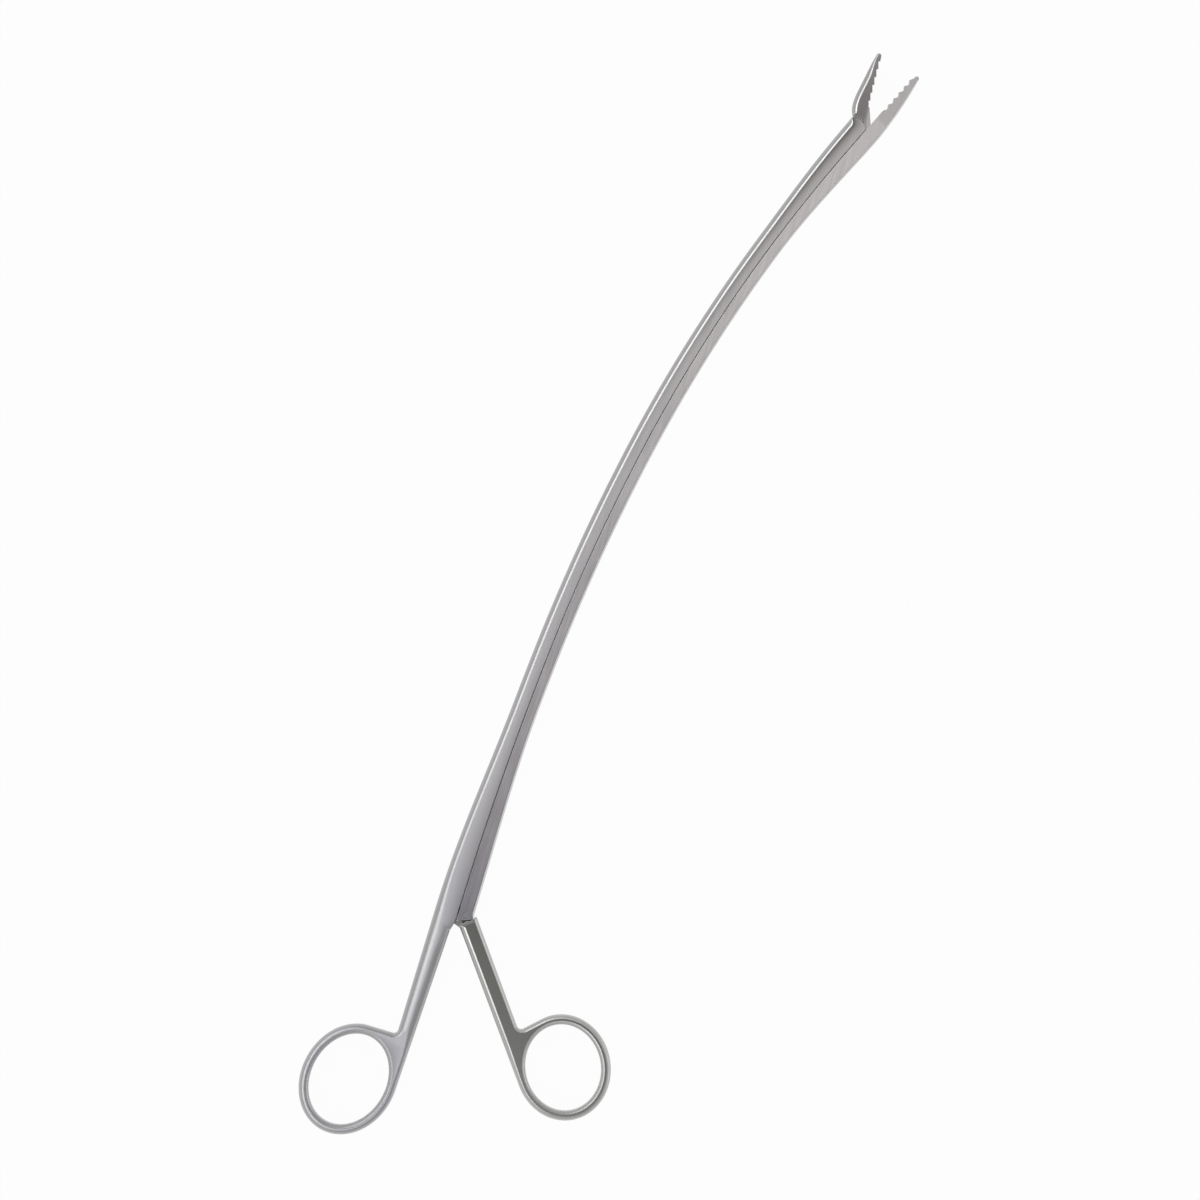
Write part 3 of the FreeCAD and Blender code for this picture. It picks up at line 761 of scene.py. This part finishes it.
@dataclass
class OuterBar:
    """Outer bar with its shank and finger ring, one forging, and the pins it carries."""

    linkage: Linkage
    ring: FingerRing = FingerRing(-65.4 + 12.7j, (13.5, 10.7), -12.0)
    root: float = 6.4
    waist: float = 4.2
    end: float = 5.2
    edge_round: float = 1.65
    edge_depth: float = 1.15
    shank_share: float = 0.47
    shank_depth: float = 1.25
    shank_from: float = 14.0
    shank_to: float = 10.0
    tip_share: float = 0.35
    tip_ease: tuple = (-0.4, 1.8)
    joint_round: float = 0.08
    seam_lip: float = 0.35
    heel_slot: float = 4.6
    heel_slot_end: float = 1.6
    jaw_slot: float = 4.0
    jaw_slot_start: float = 2.6
    knuckle_slot: float = 3.0
    heel_back: float = 2.3
    heel_step: complex = -2.3 + 0.6j
    heel_round: float = 0.3
    facing_ease: tuple = (1, -8)
    facing_slot_end: float = 3.0
    crook_back: float = 37.2
    crook_radius: float = 1.3
    crook_lead: float = 1.6
    crook_round: tuple = (1.5, 1.4)
    web_ease: tuple = (-18, -8)
    # Painted light and shade on the bar: levels along it, painted shade by the outer side at the
    # far end and by the seam at the near end, and a painted level on the ground edge.
    finish_and_painted_light: SatinSteelPaintedLight = SatinSteelPaintedLight("outer_bar_satin_painted_light", (0.61, 0.60, 0.64), (0.71, 0.68, 0.67),
                                    edge=(0.47, 0.47, 0.48), shade=0.25, seam_shade=0.65)

    @property
    def heel(self) -> complex:
        """Corner where the seam side ends, behind the handle joint."""
        return self.linkage.seam.beside(-self.heel_back, 0)[0]

    @property
    def facing(self) -> complex:
        """Where the shank's side that faces the moving handle starts."""
        return self.heel + self.heel_step

    def knuckle_reach(self, out: float) -> float:
        """Place along the seam where the knuckle ends, at a distance out from the seam."""
        link = self.linkage
        return link.seam.length + link.knuckle_forward(link.jaw_drive, link.knuckle, out)

    def half_width(self, x: np.ndarray) -> np.ndarray:
        """Nearly half the shank's width at x, so that its face is round all over.

        Args:
            x: places along the frame's x axis.

        Returns:
            The shank's share of its width there.
        """
        outer = self.linkage.seam.start.imag + self.root
        facing, end = self.facing, self.ring.meet(self.facing, -1)[1]
        across = outer - np.interp(x, [end.real, facing.real], [end.imag, facing.imag])
        return self.shank_share * across

    def _seam_side(self, shape: Outline) -> None:
        """Adds the seam side, with its lip and slots, and the knuckle for the jaw.

        Args:
            shape: the outline to add to.
        """
        link, seam, small = self.linkage, self.linkage.seam, self.joint_round
        foot, tip = self.knuckle_reach(0), self.knuckle_reach(self.end)
        along = np.linspace(-self.heel_back, foot, 260)
        slots = np.where(along < self.heel_slot_end, self.heel_slot,
                         np.where(along > foot - self.jaw_slot_start, self.jaw_slot,
                                  -self.seam_lip))
        shape.add(seam.beside(along, 0), small, small, slots, 1.0)
        ends = seam.beside(np.array([foot, tip]), np.array([0, self.end]))
        first, last = np.degrees(np.angle(ends - link.jaw_drive))
        knuckle = bend(link.jaw_drive, link.knuckle, first, last, 26)
        shape.add(knuckle, small, small, self.knuckle_slot, np.linspace(1, 0, 26))

    def _outer_side(self, shape: Outline) -> None:
        """Adds the outer side back to the crook: ground along the bar, round on the shank.

        Args:
            shape: the outline to add to.
        """
        seam, tip = self.linkage.seam, self.knuckle_reach(self.end)
        back = np.linspace(tip, -self.crook_back + self.crook_lead, 320)
        side = seam.beside(back, seam.flared(back, self.root, self.waist, self.end))
        full = eased(-back, -self.shank_from, self.shank_to)
        corner_share = self.tip_share + (1 - self.tip_share) * eased(tip - back, *self.tip_ease)
        shape.add(side, self.edge_round * corner_share
                  + (self.half_width(side.real) - self.edge_round) * full,
                  self.edge_depth + (self.shank_depth - self.edge_depth) * full,
                  0.0, 0.0, 1 - full)

    def _ring_side(self, shape: Outline) -> None:
        """Adds the crook, which turns about a centre between its two sides, and the ring.

        Args:
            shape: the outline to add to.
        """
        corner = self.linkage.seam.beside(-self.crook_back, self.root)[0]
        web, web_end = self.ring.meet(corner, 1)
        slope = np.degrees(np.angle(web_end - corner))
        middle = 1j + heading(slope - 90)
        middle /= abs(middle)
        centre = corner + middle * self.crook_radius / middle.imag
        crook = bend(centre, self.crook_radius, 270, 90 + slope, 10)
        leave = centre - heading(slope - 90) * self.crook_radius
        around = self.ring.around(web, self.ring.touch(self.facing, -1))
        shape.add(crook, *self.crook_round, 0.0, 0.0)
        shape.add(straight(leave, web_end, 12), self.ring.outer_round, None, 0.0, 0.0)
        shape.add(around, self.ring.outer_round, None, 0.0, 0.0)

    def _facing_side(self, shape: Outline) -> None:
        """Adds the side that faces the moving handle, from the ring forward to the heel.

        Args:
            shape: the outline to add to.
        """
        edge = self.ring.outer_round
        inner = straight(self.ring.meet(self.facing, -1)[1], self.facing, 90)
        x = inner.real
        near, far = self.facing.real + np.array(self.facing_ease)
        web_near, web_far = -self.crook_back + np.array(self.web_ease)
        behind = eased(x, near, far)
        full = behind * eased(x, web_near, web_far)
        shape.add(inner, edge + (self.half_width(x) - edge) * full,
                  edge + (self.shank_depth - edge) * full,
                  self.heel_slot * (x > self.facing.real - self.facing_slot_end), 1 - behind)
        shape.add(straight(self.facing, self.heel, 8), self.heel_round, self.heel_round,
                  self.heel_slot, 1.0)

    def outline(self) -> Outline:
        """Seam side, knuckle, outer side, crook, ring and facing side, in that order.

        Returns:
            The outline, with the body on its left.
        """
        shape = Outline()
        for side in (self._seam_side, self._outer_side, self._ring_side, self._facing_side):
            side(shape)
        return shape

    def build(self) -> None:
        """Makes the forging and dresses it."""
        forging = Forging("outer_bar_forging", self.outline(), [self.ring.hole()])
        place(forging, self.finish_and_painted_light, "outer", ["outer_bar"])


@dataclass
class InnerBar:
    """Sliding inner bar with the fixed jaw at its end."""

    linkage: Linkage
    root: float = 4.7
    waist: float = 3.2
    end: float = 4.5
    edge_round: float = 0.7
    joint_round: float = 0.08
    seam_groove: float = 0.65
    seam_spread: float = 0.14
    spread_ease: tuple = (110, 10)
    end_slot: float = 4.0
    end_slot_inner: float = 1.2
    end_slot_seam: float = 1.5
    tongue_slot: float = 3.4
    tongue_slot_start: float = 4.5
    back_share: float = 0.8
    nose_round: float = 0.35
    corner_round: float = 0.4
    slant_round: float = 0.15
    bore_radius: float = 0.8
    bore_round: float = 0.06
    bore_lip: float = 0.05
    slot_levels: tuple = (1.6, 4.0)
    end_back: float = 1.45
    end_slant: float = 19.0
    end_round: float = 1.4
    jaw_length: float = 20.2
    jaw_back: tuple = (9.5, 3.8)
    jaw_droop: float = 1.5
    nose: float = 0.7
    teeth: int = 6
    pitch: float = 2.3
    first_tooth: float = 6.35
    tooth_run: float = 1.15
    tooth_depth: float = 0.72
    # Painted light and shade: the bar's faces run from dark at the near end to pale at the jaw,
    # with a painted level on the ground edge.
    finish_and_painted_light: SatinSteelPaintedLight = SatinSteelPaintedLight("inner_bar_satin_painted_light", (0.27, 0.255, 0.285), (0.86, 0.82, 0.81),
                                    edge=(0.62, 0.61, 0.61), near_x=-0.02, far_x=0.22)

    def end_centre(self) -> complex:
        """Centre of the rounded inner corner of the bar's near end.

        Returns:
            The centre: inside both the slanted end and the inner side by the radius.
        """
        ahead = heading(self.end_slant)
        start = self.linkage.seam.beside(-self.end_back, -self.linkage.seam.gap)[0]
        start += ahead * self.end_round
        drop = start.imag - (self.linkage.seam.start.imag - self.root + self.end_round)
        return start + heading(self.end_slant - 90) * drop / ahead.real

    def bite_line(self) -> np.ndarray:
        """Tooth line from the nose back to the first tooth: falls and rises in turn.

        Returns:
            Its corners.
        """
        gap = self.linkage.seam.gap
        tips = self.first_tooth + self.pitch * np.arange(self.teeth)
        forward = np.stack([tips, tips + self.tooth_run], 1).ravel()
        out = np.tile([-gap, -gap - self.tooth_depth], self.teeth)
        out[-1] = self.nose - self.jaw_droop
        return self.linkage.bite(forward, out)[::-1]

    def outline(self) -> Outline:
        """Inner side, back of the jaw, nose, teeth, seam side and near end.

        Returns:
            The outline, with the body on its left.
        """
        link, seam = self.linkage, self.linkage.seam
        small, edge = self.joint_round, self.edge_round
        centre = self.end_centre()
        along = np.linspace((centre - seam.start).real, seam.length, 300)
        width = seam.flared(along, self.root, self.waist, self.end)
        shape = Outline()
        shape.add(seam.beside(along, -width), edge, edge,
                  self.end_slot * (along < self.end_slot_inner), 1.0, eased(along, seam.length, 0))

        turn = link.bite_angle - 100
        nose = link.bite(self.jaw_length - self.nose, -self.jaw_droop)
        back = link.bite(self.jaw_back[0], -self.jaw_back[1])
        heel = seam.beside(seam.length, -self.end)[0]
        shape.add(through([heel, back, nose + heading(turn) * self.nose], 60),
                  edge * self.back_share, edge, 0.0, 1.0)
        shape.add(bend(nose, self.nose, turn, link.bite_angle + 90, 16), self.nose_round)

        bite = self.bite_line()
        first = eased(np.arange(len(bite)), len(bite) - 4, len(bite))
        shape.add(bite, small, small, self.tongue_slot * first, 0.0)
        far = np.linspace(seam.length + self.first_tooth, -self.end_back, 300)
        slots = np.where(far < self.end_slot_seam, self.end_slot,
                         np.where(far > seam.length - self.tongue_slot_start, self.tongue_slot,
                                  self.seam_groove))
        side = seam.beside(far, -seam.gap - self.seam_spread * eased(far, *self.spread_ease))
        shape.add(side, small, small, slots, 0.0)
        end = centre - heading(self.end_slant) * self.end_round
        shape.add(straight(side[-1], end, 10), self.slant_round, self.slant_round, self.end_slot)
        shape.add(bend(centre, self.end_round, 180 + self.end_slant, 270, 12),
                  self.corner_round, self.corner_round, self.end_slot, 1.0)
        return shape

    def pin_bore(self) -> Outline:
        """Bore that the handle's drive pin shows in, flush with the face."""
        points = bend(self.linkage.handle_drive, self.bore_radius, 360, 7.5, 48)
        return Outline().add(points, self.bore_round, groove=-self.bore_lip)

    def build(self) -> None:
        """Makes the forging and dresses it."""
        link = self.linkage
        low, high = self.slot_levels
        forging = Forging("inner_bar_forging", self.outline(), [self.pin_bore()],
                          groove_low=low, groove_high=high)
        forging.taper = Taper(link.bite(0, 0), heading(link.bite_angle), self.jaw_length)
        place(forging, self.finish_and_painted_light, "slider", ["inner_bar"])


@dataclass
class MovingJaw:
    """Hinged jaw with backward teeth, and the tongue that carries it."""

    linkage: Linkage
    length: float = 21.65
    heel_out: float = 3.4
    back: tuple = ((4.5, 4.2), (10.2, 3.75), (16.2, 2.45))
    rise: float = 0.5
    nose: float = 0.7
    teeth: int = 6
    pitch: float = 2.3
    first_tooth: float = 8.1
    tooth_run: float = 2.05
    tooth_depth: float = 0.5
    mesh_depth: float = 0.05
    clearance: float = 0.1
    knuckle_gap: float = 0.25
    back_round: float = 1.5
    back_depth: float = 1.1
    nose_rounds: tuple = (0.2, 0.5)
    heel_share: float = 0.6
    joint_round: float = 0.08
    tongue_reach: float = 8.5
    tongue_angle: float = 41.2
    tongue_ends: tuple = (1.5, 1.0)
    tongue_round: float = 0.12
    # Painted light and shade on the jaw's faces, and a white painted highlight on the land of its
    # back.
    finish_and_painted_light: SatinSteelPaintedLight = SatinSteelPaintedLight("moving_jaw_satin_painted_light", (0.34, 0.32, 0.32), (0.44, 0.42, 0.41),
                                    edge=(0.46, 0.45, 0.45), near_land_highlight=(1.0, 0.99, 0.98),
                                    near_x=0.236, far_x=0.256)
    # The tongue's colour is painted lighter than the jaw's: painted light.
    tongue_steel_painted_lighter: SatinSteelPaintedLight = SatinSteelPaintedLight("tongue_satin_painted_light", (0.70, 0.68, 0.67),
                                           (0.78, 0.76, 0.75))

    def outline(self) -> Outline:
        """Tooth line, nose, back and hollow heel, drawn closed and then opened.

        Returns:
            The outline, with the body on its left.
        """
        link = self.linkage
        closed = turned(link.jaw_drive, link.jaw_pivot, -link.jaw_swing)
        base = link.knuckle + self.knuckle_gap
        smooth = self.clearance - link.seam.gap
        edge = -link.seam.gap - self.mesh_depth
        foot = link.bite(link.knuckle_forward(closed, base, smooth), smooth)
        tips = self.first_tooth + self.pitch * np.arange(self.teeth)
        forward = np.stack([tips - self.pitch + self.tooth_run, tips], 1).ravel()
        out = np.tile([edge + self.tooth_depth, edge], self.teeth)
        teeth = np.concatenate([[forward[0] - 1], forward]) + 1j * np.concatenate([[smooth], out])
        nose = link.bite(self.length - self.nose, self.rise)
        before = link.bite(tips[-1] + 1, self.rise - self.nose)
        top = nose + heading(link.bite_angle + 80) * self.nose
        heel = link.bite(link.knuckle_forward(closed, base, self.heel_out), self.heel_out)
        knots = [link.bite(f, o) for f, o in self.back[::-1]]
        first, last = np.degrees(np.angle(np.array([heel, foot]) - closed))

        def opened(points: np.ndarray) -> np.ndarray:
            """The points turned about the pivot, from closed to open."""
            return turned(np.asarray(points), link.jaw_pivot, link.jaw_swing)

        small = self.joint_round
        shape = Outline()
        lead = straight(foot, link.bite(forward[0] - 1, smooth), 8)
        shape.add(opened(lead), small, small, 0.0, 1.0)
        shape.add(opened(link.bite(teeth.real, teeth.imag)), small, small, 0.0, 1.0)
        shape.add(opened([before]), small, small, 0.0, 1.0)
        arc = bend(nose, self.nose, link.bite_angle - 90, link.bite_angle + 80, 16)
        shape.add(opened(arc), np.linspace(*self.nose_rounds, 16))
        curve = through([top, *knots, heel], 70)
        place_on = np.arange(70)
        wide = eased(place_on, 0, 25) - self.heel_share * eased(place_on, 63, 70)
        narrow = self.nose_rounds[1]
        shape.add(opened(curve), narrow + (self.back_round - narrow) * wide, self.back_depth,
                  0.0, 0.0, 1.0)
        shape.add(opened(bend(closed, base, first, last, 20)), small, small, 0.0,
                  np.linspace(0, 1, 20))
        return shape

    def build(self) -> None:
        """Makes the jaw and its tongue and dresses them."""
        link = self.linkage
        jaw = Forging("moving_jaw_forging", self.outline())
        way = heading(link.bite_angle + link.jaw_swing)
        start = turned(link.bite(0, 0), link.jaw_pivot, link.jaw_swing)
        jaw.taper = Taper(start, way, self.length)
        tip = link.jaw_pivot + heading(link.bite_angle + self.tongue_angle) * self.tongue_reach
        wide, slim = self.tongue_ends
        hull = disc_hull([(link.jaw_pivot, wide), (link.jaw_drive, wide), (tip, slim)])
        edged = Outline().add(hull, self.tongue_round)
        tongue = Forging("moving_jaw_tongue", edged, **TONGUE)
        place(jaw, self.finish_and_painted_light, "jaw", ["moving_jaw"])
        place(tongue, self.tongue_steel_painted_lighter, "jaw", ["moving_jaw"])


@dataclass
class MovingHandle:
    """Hinged shank with its finger ring, and the tongue that joins both bars."""

    linkage: Linkage
    inner_bar: InnerBar
    ring: FingerRing = FingerRing(-44.5 - 44.6j, (12.3, 10.7), 27.0)
    shank_turn: float = 37.2
    width: float = 5.5
    front: float = 1.6
    facing_back: float = 4.0
    crook_reach: float = 36.1
    crook_radius: float = 1.3
    joint_gap: float = 0.25
    tongue_reach: float = 4.5
    tongue_end: float = 1.5
    tongue_round: float = 0.12
    facing_round: float = 1.6
    facing_depth: float = 1.2
    back_round: float = 1.0
    head_round: float = 0.1
    cheek_round: float = 0.3
    # Painted shade: the handle's faces are dark and darken towards the head, with a painted level
    # of light on the head's patch.
    finish_and_painted_light: SatinSteelPaintedLight = SatinSteelPaintedLight("moving_handle_satin_painted_light", (0.27, 0.27, 0.26),
                                    (0.16, 0.16, 0.15), edge=(0.50, 0.50, 0.49),
                                    near_land_highlight=(0.52, 0.52, 0.51), near_x=-0.06,
                                    far_x=-0.01, lay=Lay.ROUND,
                                    patch=(heading(217.2), 14.9))

    def outline(self) -> Outline:
        """Hollow head, facing side, ring, crook and back of the shank, in that order.

        Returns:
            The outline, with the body on its left.
        """
        link = self.linkage
        along, side = heading(180 + self.shank_turn), heading(self.shank_turn - 90)
        half = self.width / 2
        drive = link.handle_drive
        front = drive + along * self.front + side * half
        corner = drive + along * self.crook_reach + side * half
        web, web_end = self.ring.meet(corner, -1)
        across = heading(np.degrees(np.angle(web_end - corner)) + 90)
        middle = (side + across) / abs(side + across)
        centre = corner + middle * self.crook_radius / (side * middle.conjugate()).real
        first, last = np.degrees(np.angle([-across, -side]))
        facing = drive + along * (self.front + self.facing_back) - side * half
        touch, touch_end = self.ring.meet(facing, 1)

        shape = Outline()
        head = self.head(facing, along)
        shape.add(head, self.head_round)
        broad = eased(np.arange(12), -1, 4)
        shape.add(straight(head[-1], facing, 12),
                  self.cheek_round + (self.facing_round - self.cheek_round) * broad,
                  self.facing_depth, 0.0, 0.0, 1.0)
        broad = eased(np.arange(60), 60, 40)
        shape.add(straight(facing, touch_end, 60), self.ring.outer_round
                  + (self.facing_round - self.ring.outer_round) * broad,
                  self.facing_depth, 0.0, 0.0, broad)
        shape.add(self.ring.around(touch, web), self.ring.outer_round)
        shape.add(straight(web_end, centre - across * self.crook_radius, 12),
                  self.ring.outer_round)
        last = first + (last - first + 180) % 360 - 180
        shape.add(bend(centre, self.crook_radius, first, last, 10), self.back_round)
        shape.add(straight(centre - side * self.crook_radius, front, 60), self.back_round,
                  self.back_round, 0.0, 1.0, 1.0)
        return shape

    def head(self, facing: complex, along: complex) -> np.ndarray:
        """Hollow front of the head: it clears the bar's end, at rest and fully turned.

        Args:
            facing: where the shank's facing side starts.
            along: direction of the shank, away from the head.

        Returns:
            An arc about the bar's rounded corner, then the edge of its end fully turned.
        """
        link = self.linkage
        centre = self.inner_bar.end_centre()
        radius = self.inner_bar.end_round + self.joint_gap
        slant = centre - heading(self.inner_bar.end_slant) * radius
        slant_way = heading(self.inner_bar.end_slant + 90)
        swung = turned(slant, link.handle_drive, link.handle_swing)
        swung_way = slant_way * heading(link.handle_swing)
        left = meeting(facing, along, swung, swung_way)
        notch = meeting(slant, slant_way, swung, swung_way)
        ahead = self.front - ((centre - link.handle_drive) * along.conjugate()).real
        start = 180 + self.shank_turn + math.degrees(math.acos(ahead / radius))
        round_end = bend(centre, radius, start, 180 + self.inner_bar.end_slant, 14)
        return np.concatenate([round_end, straight(notch, left, 6)])

    def build(self) -> None:
        """Makes the handle and its tongue and dresses them."""
        link = self.linkage
        handle = Forging("moving_handle_forging", self.outline(), [self.ring.hole()])
        tip = link.handle_drive + heading(180 + self.shank_turn) * self.tongue_reach
        hull = disc_hull([(centre, self.tongue_end)
                          for centre in (link.handle_pivot, link.handle_drive, tip)])
        edged = Outline().add(hull, self.tongue_round)
        tongue = Forging("moving_handle_tongue", edged, **TONGUE)
        place(handle, self.finish_and_painted_light, "handle", ["moving_handle"])
        place(tongue, self.finish_and_painted_light, "handle", ["moving_handle"])


@dataclass
class Pins:
    """Riveted hinge pins and the hidden guide studs, which keep their CAD shapes."""

    nodes: tuple = ("handle_pivot_pin", "handle_drive_pin", "jaw_pivot_pin", "jaw_drive_pin",
                    "guide_stud_proximal", "guide_stud_middle", "guide_stud_distal")
    # Painted shade: the pins' colour is darkened to the level of the bars round them.
    finish_and_painted_light: SatinSteelPaintedLight = SatinSteelPaintedLight("pin_satin_painted_light", (0.28, 0.27, 0.29), (0.5, 0.5, 0.5))

    def build(self) -> None:
        """Dresses the CAD nodes."""
        material = self.finish_and_painted_light.material()
        for name in self.nodes:
            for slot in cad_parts[name].material_slots:
                slot.material = material
            log.info("dressed %s", name)


def place(forging: Forging, finish_and_painted_light: SatinSteelPaintedLight, body: str,
          nodes: list[str]) -> None:
    """Builds a forging, dresses it and hands it to its body.

    Args:
        forging: the piece to build.
        finish_and_painted_light: its satin steel, with painted light and shade, whose material is
            made once.
        body: the body it rides on.
        nodes: the CAD nodes that it stands for.
    """
    piece = forging.build()
    made = bpy.data.materials.get(finish_and_painted_light.name) or finish_and_painted_light.material()
    piece.data.materials.append(made)
    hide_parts(*nodes)
    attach(piece, body)
    log.info("built %s: %d faces", piece.name, len(piece.data.polygons))


@dataclass(frozen=True)
class Lamp:
    """One soft rectangular lamp, placed by its direction from the object.

    The azimuth is anticlockwise from the top of the picture.
    """

    name: str
    azimuth: float
    elevation: float
    distance: float
    size: tuple
    power: float

    def build(self, centre: np.ndarray, up_angle: float) -> None:
        """Adds the lamp, facing the centre.

        Args:
            centre: the point that it faces, in metres.
            up_angle: direction of the picture's top in the plan, in degrees.
        """
        data = bpy.data.lights.new(self.name, "AREA")
        data.shape = "RECTANGLE"
        data.size, data.size_y = self.size
        data.energy = self.power
        lamp = bpy.data.objects.new(self.name, data)
        turn, rise = math.radians(self.azimuth + up_angle), math.radians(self.elevation)
        way = np.array([math.cos(turn) * math.cos(rise), math.sin(turn) * math.cos(rise),
                        math.sin(rise)])
        lamp.location = centre + way * self.distance
        lamp.rotation_euler = (math.pi / 2 - rise, 0, turn + math.pi / 2)
        bpy.context.scene.collection.objects.link(lamp)
        log.info("lamp %s", self.name)


@dataclass
class Studio:
    """Camera straight above, a pale floor, soft lamps and a plain world."""

    up_angle: float = 16.96
    centre: complex = 85.5 - 15.9j
    across: float = 340.8
    distance: float = 3.0
    sensor: float = 36.0
    floor_size: float = 4.0
    floor_drop: float = 0.3
    floor_tint: float = 0.86
    floor_white: float = 0.96
    zenith: float = 0.36
    horizon: float = 0.95
    lean: float = 0.1
    lamps: tuple = (Lamp("left_softbox", 90, 72, 1.5, (1.6, 0.55), 3.8),
                    Lamp("right_softbox", 270, 20, 1.6, (1.4, 0.5), 2.2))

    def camera(self) -> None:
        """Looks straight down, with the photograph's turn and width."""
        data = bpy.data.cameras.new("camera")
        data.sensor_width = self.sensor
        data.lens = self.sensor * self.distance / (self.across * MILLIMETRE)
        data.clip_end = 20
        camera = bpy.data.objects.new("camera", data)
        height = self.distance + THICKNESS / 2 * MILLIMETRE
        camera.location = (self.centre.real * MILLIMETRE, self.centre.imag * MILLIMETRE, height)
        camera.rotation_euler = (0, 0, math.radians(self.up_angle - 90))
        bpy.context.scene.collection.objects.link(camera)
        bpy.context.scene.camera = camera

    def floor(self) -> None:
        """Pale floor that reads as white but keeps the object's shadow."""
        half = self.floor_size / 2
        x, y = self.centre.real * MILLIMETRE, self.centre.imag * MILLIMETRE
        corners = np.array([[-half, -half], [half, -half], [half, half], [-half, half]])
        points = np.column_stack([corners + [x, y], np.full(4, -self.floor_drop * MILLIMETRE)])
        mesh = bpy.data.meshes.new("floor")
        mesh.from_pydata(points, [], [(0, 1, 2, 3)])
        floor = bpy.data.objects.new("floor", mesh)
        bpy.context.scene.collection.objects.link(floor)
        material = bpy.data.materials.new("pale_floor")
        shader = Shader(material)
        rays = shader.node("ShaderNodeLightPath")
        seen = sum(Value(shader, rays.outputs[f"Is {kind} Ray"])
                   for kind in ("Camera", "Glossy", "Transmission")).held()
        tint = (self.floor_tint,) * 3 + (1,)
        paper = shader.node("ShaderNodeBsdfDiffuse", None, {"Color": tint})
        white = shader.node("ShaderNodeEmission", None, {"Color": (1, 1, 1, 1), "Strength": 1.0})
        mixed = shader.node("ShaderNodeMixShader", None,
                            {0: seen * self.floor_white, 1: paper.outputs[0], 2: white.outputs[0]})
        shader.node("ShaderNodeOutputMaterial", None, {"Surface": mixed.outputs[0]})
        mesh.materials.append(material)

    def world(self) -> None:
        """Plain grey surround, paler low down and towards the picture's left."""
        world = bpy.data.worlds.new("studio")
        bpy.context.scene.world = world
        shader = Shader(world)
        way = shader.node("ShaderNodeTexCoord").outputs["Generated"]
        axes = shader.node("ShaderNodeSeparateXYZ", None, {0: way})
        x, y, z = (Value(shader, axes.outputs[i]) for i in range(3))
        left = heading(self.up_angle + 90)
        low = (1 - z).held()
        strength = (self.zenith + low * (self.horizon - self.zenith)
                    + (x * left.real + y * left.imag) * self.lean)
        light = shader.node("ShaderNodeBackground", None,
                            {"Color": (1, 1, 1, 1), "Strength": strength})
        shader.node("ShaderNodeOutputWorld", None, {"Surface": light.outputs[0]})

    def build(self) -> None:
        """Sets up the view, the floor, the world and the lamps."""
        scene = bpy.context.scene
        scene.view_settings.view_transform = "Standard"
        self.camera()
        self.floor()
        self.world()
        middle = np.array([self.centre.real, self.centre.imag, 0]) * MILLIMETRE
        for lamp in self.lamps:
            lamp.build(middle, self.up_angle)


def main() -> None:
    """Builds the passer and the studio, and reports each piece."""
    logging.basicConfig(level=logging.INFO, format="%(message)s")
    linkage = Linkage()
    inner_bar = InnerBar(linkage)
    for assembly in (OuterBar(linkage), inner_bar, MovingJaw(linkage),
                     MovingHandle(linkage, inner_bar), Pins(), Studio()):
        log.info("%s", type(assembly).__name__)
        assembly.build()


if __name__ == "__main__":
    main()
